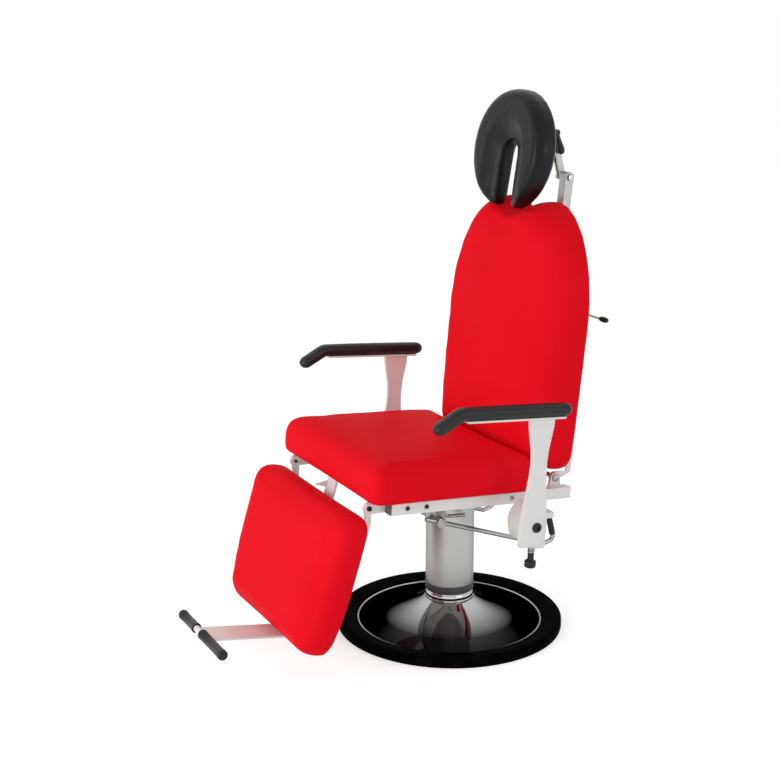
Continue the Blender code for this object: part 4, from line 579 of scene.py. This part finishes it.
RAIL_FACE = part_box("rail_left")[1].x
FRAME_TOP = 0.4336
SCREW_DROP = 0.0135
SCREW_GAP = 0.0002
SCREWS = (("front", -0.2622, black_steel), ("middle", -0.2100, black_steel), ("rear", 0.0330, plain_steel))
seat_ahead = SEAT_UP.cross(ACROSS)
for label, side in SIDES:
    for spot, along, finish in SCREWS:
        at = Vector((0, 0, FRAME_TOP)) + seat_ahead * along - SEAT_UP * SCREW_DROP
        at.x = side * (RAIL_FACE + SCREW_GAP)
        head = socket_head(sideways(at, side), head=0.0056, height=0.0036)
        make_piece("frame_screw_%s_%s" % (spot, label), head, "seat", finish)
print("frame screws", len(SCREWS) * 2)

# %% Hinge bolts and armrest pivots
LUG_FACE = 0.2213
PIVOT_HEIGHT = 0.0060
leg_at = hinge_point("legrest_raise")
for label, side in SIDES:
    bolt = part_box("legrest_hinge_bolt_" + label)
    inner_end = min(abs(bolt[0].x), abs(bolt[1].x)) - LUG_FACE
    place = sideways(Vector((side * LUG_FACE, leg_at.y, leg_at.z)), side)
    head = socket_head(place, head=0.0064, height=0.0040, shank=0.004, shank_end=inner_end)
    make_piece("legrest_bolt_" + label, head, "seat", black_rubber,
               ["legrest_hinge_bolt_" + label])

    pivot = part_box("armrest_pivot_screw_" + label)
    near, far = sorted((abs(pivot[0].x), abs(pivot[1].x)))
    face = far - PIVOT_HEIGHT
    at = hinge_point(label + "_armrest_fold")
    place = sideways(Vector((side * face, at.y, at.z)), side)
    head = socket_head(place, head=0.0125, height=PIVOT_HEIGHT, shank=0.005, shank_end=near - face,
                       sides=36)
    make_piece("armrest_pivot_cap_" + label, head, "seat", black_rubber,
               ["armrest_pivot_screw_" + label])

back_at = hinge_point("backrest_recline")
shaft_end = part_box("backrest_hinge_shaft")[1].x
half = [(0.0, shaft_end), (0.0072, shaft_end), (0.0090, shaft_end - 0.0008), (0.0095, shaft_end - 0.0020),
        (0.0095, shaft_end - 0.0050), (0.0060, shaft_end - 0.0050)]
whole = half + [(r, -z) for r, z in reversed(half)]
make_piece("backrest_shaft", turned(whole, sideways(back_at), 40), "seat", plain_steel,
           ["backrest_hinge_shaft"])
print("hinges and pivots turned")

# %% [markdown]
# ## Locking plungers
# Each armrest is held by a spring plunger: a threaded zinc barrel with a lock nut, and a black pull
# knob below it. The knob has a waist for the fingers, as in the photograph.

# %% Barrels, nuts and knobs
THREAD_TURNS = 9
THREAD_PITCH = 0.0013
BARREL_BORE = 0.0050
for label, side in SIDES:
    at = hinge_point(label + "_plunger_pull")
    place = local_frame(at, SEAT_UP)
    knob = [(0.0, 0.0385), (0.0036, 0.0385), (0.0040, 0.0375), (0.0040, -0.0003), (0.0072, -0.0003),
            (0.0080, -0.0012), (0.0078, -0.0100), (0.0080, -0.0170), (0.0096, -0.0195)]
    knob += [(0.0138, -0.0212), (0.0145, -0.0228), (0.0145, -0.0345), (0.0138, -0.0368), (0.0118, -0.0383),
             (0.0, -0.0383)]
    make_piece("plunger_knob_" + label, turned(knob, place, 48), label + "_plunger",
               black_rubber, ["plunger_" + label])

    thread = [(BARREL_BORE, 0.0006)]
    for turn in range(THREAD_TURNS):
        level = 0.0010 + turn * THREAD_PITCH
        thread += [(0.0084, level), (0.0088, level + 0.0004), (0.0084, level + 0.0008)]
    thread += [(0.0084, 0.0126), (BARREL_BORE, 0.0126)]
    barrel = turned(thread, place, 40, closed=True)
    flat = [(BARREL_BORE, 0.0139), (0.0142, 0.0139), (0.0142, 0.0213), (BARREL_BORE, 0.0213)]
    nut = turned(flat, place, 6, closed=True)
    soften(nut, 0.0009)
    make_piece("plunger_barrel_" + label, joined(barrel, nut), "seat", drawn_steel)
print("plungers turned")

# %% [markdown]
# ## Bent rods
# The release lever and the swivel lock are bent from round bar. A ring of edges is extruded along each
# straight run and spun round the centre of each bend, which is also how a bender works.

# %% Bend a rod
def bent_rod(points, radius, bend, sides=20, steps=10):
    bm = bmesh.new()
    points = [Vector(point) for point in points]
    run = (points[1] - points[0]).normalized()
    aim = Matrix.Translation(points[0]) @ run.to_track_quat("Z", "Y").to_matrix().to_4x4()
    ring = bmesh.ops.create_circle(bm, segments=sides, radius=radius, matrix=aim)["verts"]
    loop = list({edge for vert in ring for edge in vert.link_edges})
    at = points[0]

    def push(loop, vector):
        grown = bmesh.ops.extrude_edge_only(bm, edges=loop)["geom"]
        verts = [part for part in grown if isinstance(part, bmesh.types.BMVert)]
        bmesh.ops.translate(bm, verts=verts, vec=vector)
        return [part for part in grown if isinstance(part, bmesh.types.BMEdge)]

    for before, corner, after in zip(points, points[1:], points[2:]):
        back = (before - corner).normalized()
        ahead = (after - corner).normalized()
        half = back.angle(ahead) / 2
        start = corner + back * (bend / math.tan(half))
        loop = push(loop, start - at)
        centre = corner + (back + ahead).normalized() * (bend / math.sin(half))
        verts = list({vert for edge in loop for vert in edge.verts})
        axis = (start - centre).cross(-back)
        spun = bmesh.ops.spin(bm, geom=verts + loop, cent=centre, axis=axis, angle=math.pi - 2 * half,
                              steps=steps)
        loop = [part for part in spun["geom_last"] if isinstance(part, bmesh.types.BMEdge)]
        at = corner + ahead * (bend / math.tan(half))
    push(loop, points[-1] - at)
    bmesh.ops.remove_doubles(bm, verts=bm.verts, dist=1e-6)
    bmesh.ops.holes_fill(bm, edges=[edge for edge in bm.edges if edge.is_boundary], sides=0)
    bmesh.ops.recalc_face_normals(bm, faces=bm.faces)
    soften(bm, radius * 0.2, 60.0)
    return bm


print("rod bender ready")

# %% Release lever
lever_at = hinge_point("release_lever_lift")
LEVER_LEAN = math.radians(3.8 + 15.9)
LEVER_SIDE, LEVER_TAIL, LEVER_REACH = 0.150, -0.044, 0.330
HEEL_TURN, HEEL_LENGTH = math.radians(33.0), 0.034
TIP_TURN, TIP_LENGTH = math.radians(124.0), 0.057
LEVER_ROD, ROD_BEND = 0.0058, 0.012
GRIP_LENGTH, GRIP_SHARE = 0.055, 0.75
GRIP_BORE, GRIP_BORE_END = 0.0061, 0.0415
lever_place = Matrix.Translation(lever_at) @ Matrix.Rotation(-LEVER_LEAN, 4, "X")
for label, side in SIDES:
    x = side * LEVER_SIDE
    corner = Vector((x, LEVER_REACH, 0.0))
    heel = corner + Vector((0, math.cos(HEEL_TURN), math.sin(HEEL_TURN))) * HEEL_LENGTH
    tip = heel + Vector((0, math.cos(TIP_TURN), math.sin(TIP_TURN))) * TIP_LENGTH
    rod = bent_rod([(x, LEVER_TAIL, 0), corner, heel, tip], LEVER_ROD, ROD_BEND)
    bmesh.ops.transform(rod, matrix=lever_place, verts=rod.verts)
    make_piece("release_rod_bent_" + label, rod, "release_lever", drawn_steel,
               ["release_rod_" + label])

    way = (tip - heel).normalized()
    grip_low = tip - way * GRIP_LENGTH * GRIP_SHARE
    aim = lever_place @ Matrix.Translation(grip_low) @ way.to_track_quat("Z", "Y").to_matrix().to_4x4()
    grip = [(GRIP_BORE, 0.0), (0.0078, 0.0), (0.0083, 0.0006)]
    for ring in range(6):
        level = 0.004 + ring * 0.006
        grip += [(0.0083, level), (0.0078, level + 0.0010), (0.0078, level + 0.0020),
                 (0.0083, level + 0.0030)]
    grip += [(0.0083, 0.0420), (0.0072, 0.0443), (0.0053, 0.0452), (0.0, 0.0454)]
    shell = turned([(0.0, GRIP_BORE_END), (GRIP_BORE, GRIP_BORE_END), *grip], aim, 32)
    make_piece("release_grip_" + label, shell, "release_lever", black_rubber,
               ["lever_grip_" + label])
print("release lever bent, with a grip at each end")

# %% Lever shaft and swivel lock
LOCK_ROD = 0.0045
shaft = [(0.0, 0.1620), (0.0112, 0.1620), (0.0130, 0.1613), (0.0135, 0.1596), (0.0135, 0.1404),
         (0.0130, 0.1387), (0.0112, 0.1380), (0.0070, 0.1380)]
shaft += [(r, -z) for r, z in reversed(shaft)]
make_piece("release_shaft", turned(shaft, sideways(lever_at), 40), "release_lever", drawn_steel,
           ["lever_shaft"])

lock_at = hinge_point("swivel_lock_turn")
lock_corner = lock_at - Vector((0, 0, 0.066))
lock_tip = lock_at + Vector((0, 0.060, -0.072))
lock = bent_rod([lock_at, lock_corner, lock_tip], LOCK_ROD, ROD_BEND)
make_piece("swivel_lock_rod", lock, "swivel_lock", drawn_steel, ["swivel_lock_lever"])
print("shaft turned and swivel lock bent")

# %% [markdown]
# ## Small handles and the foot bar
# The height clamp is a thin rod with a teardrop grip, the headrest clamp is a tapered handle on the
# tilt axis, and the foot bar wears two rubber sleeves with moulded end beads.

# %% Height clamp
TEARDROP, TEARDROP_HALF, TEARDROP_STEPS = 0.0075, 0.013, 13
clamp_place = local_frame(hinge_point("height_clamp_turn"), BACK_UP)
boss = [(0.0, 0.0123), (0.0070, 0.0123), (0.0090, 0.0116), (0.0100, 0.0100), (0.0100, 0.0010),
        (0.0092, 0.0003), (0.0, 0.0003)]
rear = clamp_place @ Matrix.Rotation(-math.pi / 2, 4, "X")
start = Vector((0, 0.0063, 0))
reach = Vector((0.110, 0.070, -0.016))
aim = clamp_place @ Matrix.Translation(start) @ reach.to_track_quat("Z", "Y").to_matrix().to_4x4()
length = reach.length
rod = [(0.0, 0.0), (0.003, 0.0), (0.003, length - 0.006), (0.0, length - 0.006)]
knob = [(0.0, length - 0.0135), (0.0034, length - 0.0130)]
for i in range(2, TEARDROP_STEPS):
    turn = math.pi * i / TEARDROP_STEPS
    knob.append((TEARDROP * (0.25 + 0.75 * math.sin(turn) ** 0.8), length - TEARDROP_HALF * math.cos(turn)))
knob.append((0.0, length + TEARDROP_HALF))
make_piece("clamp_lever_turned", joined(turned(boss, rear, 32), turned(knob, aim, 28)), "height_clamp",
           black_rubber, ["clamp_lever"])
make_piece("clamp_lever_rod", turned(rod, aim, 24), "height_clamp", bright_chrome)
print("height clamp reaches", round(length * 1000), "mm out")

# %% Headrest clamp
HEAD_LEAN = math.radians(9.0)
HANDLE_SWING = math.radians(27.0)
tilt_at = hinge_point("headrest_tilt")
HEAD_UP = Vector((0.0, math.sin(HEAD_LEAN), math.cos(HEAD_LEAN)))
head_place = local_frame(tilt_at, HEAD_UP)
hub = [(0.0, 0.0009), (0.0072, 0.0009), (0.0082, 0.0), (0.0090, -0.0130), (0.0090, -0.0151),
       (0.0040, -0.0151), (0.0040, -0.0382), (0.0, -0.0382)]
grip = [(0.0, 0.0), (0.0058, -0.0010), (0.0062, -0.0120), (0.0080, -0.0280), (0.0100, -0.0430),
        (0.0098, -0.0490), (0.0080, -0.0545), (0.0048, -0.0574), (0.0, -0.0580)]
hang = head_place @ Matrix.Translation((-0.0051, 0, 0)) @ Matrix.Rotation(HANDLE_SWING, 4, "X")
across = head_place @ Matrix.Rotation(math.pi / 2, 4, "Y")
make_piece("headrest_clamp_turned", joined(turned(hub, across, 32), turned(grip, hang, 32)), "head_handle",
           black_rubber, ["headrest_clamp_handle"])
print("headrest clamp turned")

# %% Pivot pin of the headrest
pin_low, pin_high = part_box("headrest_pivot_pin")
reach = (pin_high.x - pin_low.x) / 2
half = [(0.0, reach), (0.0064, reach), (0.0080, reach - 0.0008), (0.0085, reach - 0.0022),
        (0.0085, reach - 0.0070), (0.0050, reach - 0.0070)]
pin = half + [(r, -z) for r, z in reversed(half)]
pin_at = Vector(((pin_low.x + pin_high.x) / 2, *hinge_point("head_yoke_tilt").yz))
make_piece("headrest_pin_turned", turned(pin, sideways(pin_at), 40), "head_yoke", bright_chrome,
           ["headrest_pivot_pin"])
print("pin is", round(2 * reach * 1000), "mm long")

# %% Sleeves of the foot bar
SLEEVE, SLEEVE_BORE, SLEEVE_ROUND = 0.0130, 0.0088, 0.006
for label, side in SIDES:
    sleeve_low, sleeve_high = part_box("footrest_sleeve_" + label)
    far = max(abs(sleeve_low.x), abs(sleeve_high.x))
    near = side * (sleeve_low.x if side > 0 else sleeve_high.x)
    centre = (sleeve_low + sleeve_high) / 2
    sleeve = [(SLEEVE_BORE, near), (0.0118, near), (SLEEVE, near + 0.0012), (SLEEVE, near + 0.0080),
              (0.0124, near + 0.0090), (0.0124, far - 0.0180), (SLEEVE, far - 0.0170)]
    sleeve += quarter(SLEEVE - SLEEVE_ROUND, far - SLEEVE_ROUND, SLEEVE_ROUND, 0.0) + [(0.0, far)]
    place = sideways(Vector((0, centre.y, centre.z)), side)
    bore_end = far - SLEEVE_ROUND
    shell = turned([(0.0, bore_end), (SLEEVE_BORE, bore_end), *sleeve], place, 40)
    make_piece("footrest_grip_" + label, shell, "footrest", black_rubber,
               ["footrest_sleeve_" + label])
print("sleeves turned")

# %% [markdown]
# ## Stuffing the cushions
# Foam under a stretched cover swells where nothing holds it and stays flat on its board. A copy of the
# CAD solid is let out a little, more the further it is from its board, and remeshed into even quads.
# Cloth with inner pressure then blows it up. The points on the board are pinned, and the others may
# only move outwards, up to a cap, because a cover doesn't shrink off its foam. Towards a calm side the
# growth fades out, because there the next cushion is near: the backrest behind the seat, and the raised
# legrest before it. Smoothing takes out the steps of the remesh. The seat's board lies in a recess,
# which is closed for the stuffing and pressed in again at the end.

# %% Cloth under pressure
LAST_FRAME = 20
bpy.context.scene.frame_start = 1
bpy.context.scene.frame_end = LAST_FRAME


def share(point, calm):
    # How much of its growth a point keeps: none at the end of a calm side, all of it past the reach.
    kept = 1.0
    for side, end, reach in calm:
        kept *= max(0.0, min(1.0, (end - point.dot(side)) / reach))
    return kept


def blown(made, held, pressure, cap, calm):
    start = [vert.co.copy() for vert in made.data.vertices]
    ways = [vert.normal.copy() for vert in made.data.vertices]
    pins = made.vertex_groups.new(name="on_board")
    pins.add(held, 1.0, "REPLACE")
    cloth = made.modifiers.new("cover", "CLOTH")
    cover = cloth.settings
    cover.use_pressure = True
    cover.uniform_pressure_force = pressure
    cover.mass = 0.25
    cover.tension_stiffness = 12.0
    cover.compression_stiffness = 12.0
    cover.bending_stiffness = 1.5
    cover.vertex_group_mass = "on_board"
    cover.effector_weights.gravity = 0.0
    cloth.point_cache.frame_start = 1
    cloth.point_cache.frame_end = LAST_FRAME
    for number in range(1, LAST_FRAME + 1):
        bpy.context.scene.frame_set(number)
    ready = made.evaluated_get(bpy.context.evaluated_depsgraph_get())
    ends = [vert.co.copy() for vert in ready.data.vertices]
    made.modifiers.remove(cloth)
    bpy.context.scene.frame_set(1)
    for vert, first, last, way in zip(made.data.vertices, start, ends, ways):
        vert.co = first + way * max(0.0, min(cap * share(first, calm), (last - first).dot(way)))


print("cloth runs for", LAST_FRAME, "frames")

# %% Let a cushion out
GROWN_FROM = 0.014
BED_MARGIN = Vector((0.011, 0.011, 0.0))
BED_DEPTH = 0.012


def over_bed(point, bed):
    return bed[0].x < point.x < bed[1].x and bed[0].y < point.y < bed[1].y


def let_out(node, back, grow, board, calm):
    # The CAD cushion with its recess closed and its free side grown. back points from the crown to the
    # board that holds the cushion, and calm lists pairs of side and reach.
    bm = bmesh.new()
    bm.from_mesh(nodes[node].data)
    bmesh.ops.remove_doubles(bm, verts=bm.verts, dist=1e-5)
    rear = max(vert.co.dot(back) for vert in bm.verts)
    calm = [(side, max(vert.co.dot(side) for vert in bm.verts), reach) for side, reach in calm]
    bed = []
    if board:
        low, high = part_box(board)
        bed = [low - BED_MARGIN, high + BED_MARGIN]
        pit = [vert for vert in bm.verts if over_bed(vert.co, bed) and rear - vert.co.dot(back) < BED_DEPTH]
        for vert in pit:
            vert.co += back * (rear - vert.co.dot(back))
    bm.normal_update()
    for vert in bm.verts:
        depth = rear - vert.co.dot(back)
        vert.co += vert.normal * grow * share(vert.co, calm) * max(0.0, min(1.0, depth / GROWN_FROM))
    return bm, rear, bed, calm


print("a cushion grows over its first", round(GROWN_FROM * 1000), "mm from the board")

# %% Settle a cushion on its board
ON_BOARD = 0.003
PRESSED_IN = 0.0093


def settled(made, back, rear, bed, smooth):
    # Smooths the cover, flattens it on its board, and presses the recess in again.
    bm = bmesh.new()
    bm.from_mesh(made.data)
    for _ in range(smooth):
        bmesh.ops.smooth_vert(bm, verts=bm.verts, factor=0.5, use_axis_x=True, use_axis_y=True,
                              use_axis_z=True)
    for vert in bm.verts:
        over = vert.co.dot(back) - rear
        if over > 0.0:
            vert.co -= back * over
        if bed and over > -ON_BOARD and over_bed(vert.co, bed):
            vert.co -= back * (PRESSED_IN + min(over, 0.0))
    bm.to_mesh(made.data)
    bm.free()
    made.data.shade_smooth()


print("the recess is pressed in by", round(PRESSED_IN * 1000, 1), "mm")


def baked(made):
    # Replaces an object's mesh by what its modifiers make of it.
    ready = made.evaluated_get(bpy.context.evaluated_depsgraph_get())
    mesh = bpy.data.meshes.new_from_object(ready)
    made.modifiers.clear()
    old, made.data = made.data, mesh
    bpy.data.meshes.remove(old)


def stuffed(name, node, body, finish, back, voxel, grow, cap, smooth, pressure=4.0, board=None,
            calm=()):
    bm, rear, bed, calm = let_out(node, back, grow, board, calm)
    made = make_piece(name, bm, body, finish, [node])
    even = made.modifiers.new("even", "REMESH")
    even.mode = "VOXEL"
    even.voxel_size = voxel
    baked(made)
    held = [vert.index for vert in made.data.vertices if rear - vert.co.dot(back) < ON_BOARD]
    blown(made, held, pressure, cap, calm)
    settled(made, back, rear, bed, smooth)
    finer = made.modifiers.new("finer", "SUBSURF")
    finer.levels = finer.render_levels = 1
    print(name, len(made.data.polygons), "faces before the subdivision")


print("stuffing ready, with cloth")

# %% Seat, backrest, legrest and headrest
BACK_REAR = BACK_UP.cross(ACROSS).normalized()
LEG_REAR = LEG_UP.cross(ACROSS).normalized()
HEAD_REAR = HEAD_UP.cross(ACROSS).normalized()
# Piece, node, body, way to the board, voxel, growth, cap, board in a recess, calm sides.
CUSHIONS = (
    ("seat_pad", "seat_cushion", "seat", -SEAT_UP, 0.007, 0.005, 0.005, "seat_board",
     [(-seat_ahead, 0.05), (seat_ahead, 0.08)]),
    ("backrest_pad", "backrest_cushion", "backrest", BACK_REAR, 0.008, 0.008, 0.006, None,
     [(-BACK_UP, 0.15)]),
    ("legrest_pad", "legrest_cushion", "legrest", LEG_REAR, 0.007, 0.007, 0.008, None,
     [(LEG_UP, 0.05)]),
)
for name, node, body, back, voxel, grow, cap, board, calm in CUSHIONS:
    stuffed(name, node, body, red_cover, back, voxel, grow, cap, smooth=4,
            board=board, calm=calm)
stuffed("headrest_pad", "headrest_cushion", "headrest", black_cover, HEAD_REAR,
        voxel=0.0032, grow=0.003, cap=0.0012, smooth=2, pressure=2.0)

# %% Arm pads
for label, side in SIDES:
    stuffed("arm_pad_" + label, "armrest_pad_" + label, label + "_armrest", black_rubber,
            -SEAT_UP, voxel=0.0035, grow=0.0006, cap=0.0010, smooth=3, pressure=2.0)

# %% [markdown]
# ## What stays as CAD
# The inner parts of the lift and the ballast plate are right as they are. They show only from below or
# when the column is raised, and they take the finish of their metal or plastic.

# %% Finishes for the carried-over nodes
CARRIED = {"base_plate": plain_steel, "guide_tube": bright_chrome, "guide_bush": dark_plastic,
           "gas_lift_cylinder": dark_plastic, "gas_lift_rod": bright_chrome}
for node, finish in CARRIED.items():
    nodes[node].data.materials.clear()
    nodes[node].data.materials.append(finish)
left_showing = [name for name, made in nodes.items() if not made.hide_render and name not in CARRIED]
print("nodes without a new finish:", left_showing)

# %% [markdown]
# ## Studio
# A white floor runs out under the chair. A part of its white is glow that only the camera and mirrors
# see, so it lights nothing and still carries the chair's shadow. A broad low light in front of the
# chair does most of the work, a weaker one fills from its left, and the world lifts the shadows.

# %% Sweep
FLOOR_REACH = 9.0
bm = bmesh.new()
bmesh.ops.create_grid(bm, x_segments=1, y_segments=1, size=FLOOR_REACH)
sweep_mesh = bpy.data.meshes.new("studio_sweep")
bm.to_mesh(sweep_mesh)
bm.free()
sweep = bpy.data.objects.new("studio_sweep", sweep_mesh)
bpy.context.scene.collection.objects.link(sweep)


def seen_rays(nodes, links):
    # One for the rays that show the background: from the camera, off a mirror or through glass.
    path = nodes.new("ShaderNodeLightPath")
    total = path.outputs["Is Camera Ray"]
    for kind in ("Is Glossy Ray", "Is Transmission Ray"):
        either = nodes.new("ShaderNodeMath")
        either.operation = "MAXIMUM"
        links.new(total, either.inputs[0])
        links.new(path.outputs[kind], either.inputs[1])
        total = either.outputs[0]
    return total


paper = Tree("studio_paper")
cloudy = paper.ranged(paper.noise(0.7), 0.0, 1.0)
paper.to("Base Color", paper.mixed(cloudy, rgba((0.90, 0.90, 0.90)), rgba((0.92, 0.92, 0.92))))
paper.to("Roughness", 0.9)
paper.to("Specular IOR Level", 0.0)
paper.to("Emission Color", rgba((1.0, 1.0, 1.0)))
paper.to("Emission Strength", paper.ranged(seen_rays(paper.nodes, paper.links), 0.0, 0.50, 0.0, 1.0))
sweep_mesh.materials.append(paper.material)
print("sweep", 2 * FLOOR_REACH, "m wide")

# %% World and lamps
world = bpy.data.worlds.new("studio")
bpy.context.scene.world = world
world.use_nodes = True
web = world.node_tree
air = web.nodes["Background"]
strength = web.nodes.new("ShaderNodeMapRange")
strength.inputs["To Min"].default_value = 0.60
strength.inputs["To Max"].default_value = 1.0
web.links.new(seen_rays(web.nodes, web.links), strength.inputs["Value"])
web.links.new(strength.outputs["Result"], air.inputs["Strength"])
air.inputs["Color"].default_value = (1.0, 1.0, 1.0, 1.0)

AIM = Vector((0.0, -0.1791, 0.6612))


def soft_light(name, place, size, power):
    lamp = bpy.data.lights.new(name, "AREA")
    lamp.shape = "RECTANGLE"
    lamp.size, lamp.size_y = size
    lamp.energy = power
    made = bpy.data.objects.new(name, lamp)
    made.location = place
    made.rotation_euler = (AIM - Vector(place)).to_track_quat("-Z", "Y").to_euler()
    bpy.context.scene.collection.objects.link(made)


soft_light("key", (0.5, -3.8, 1.3), (2.4, 1.8), 52.0)
soft_light("fill", (3.6, 1.2, 1.6), (1.8, 1.6), 16.0)
print("studio lit")

# %% [markdown]
# ## Camera
# The camera was solved from the photograph: it stands to the sitter's left, a little above the chair.

# %% Camera
AZIMUTH = math.radians(62.4142)
ELEVATION = math.radians(14.5325)
DISTANCE = 3.647
FOCAL_PIXELS = 1444.884
LONG_SIDE = 781
toward = Vector((math.sin(AZIMUTH) * math.cos(ELEVATION), -math.cos(AZIMUTH) * math.cos(ELEVATION),
                 math.sin(ELEVATION)))
lens = bpy.data.cameras.new("photographer")
lens.sensor_width = 36.0
lens.lens = FOCAL_PIXELS / LONG_SIDE * lens.sensor_width
eye = bpy.data.objects.new("photographer", lens)
eye.location = AIM + toward * DISTANCE
eye.rotation_euler = (-toward).to_track_quat("-Z", "Y").to_euler()
bpy.context.scene.collection.objects.link(eye)
bpy.context.scene.camera = eye
bpy.context.scene.view_settings.view_transform = "Standard"
print("camera", round(lens.lens, 1), "mm")
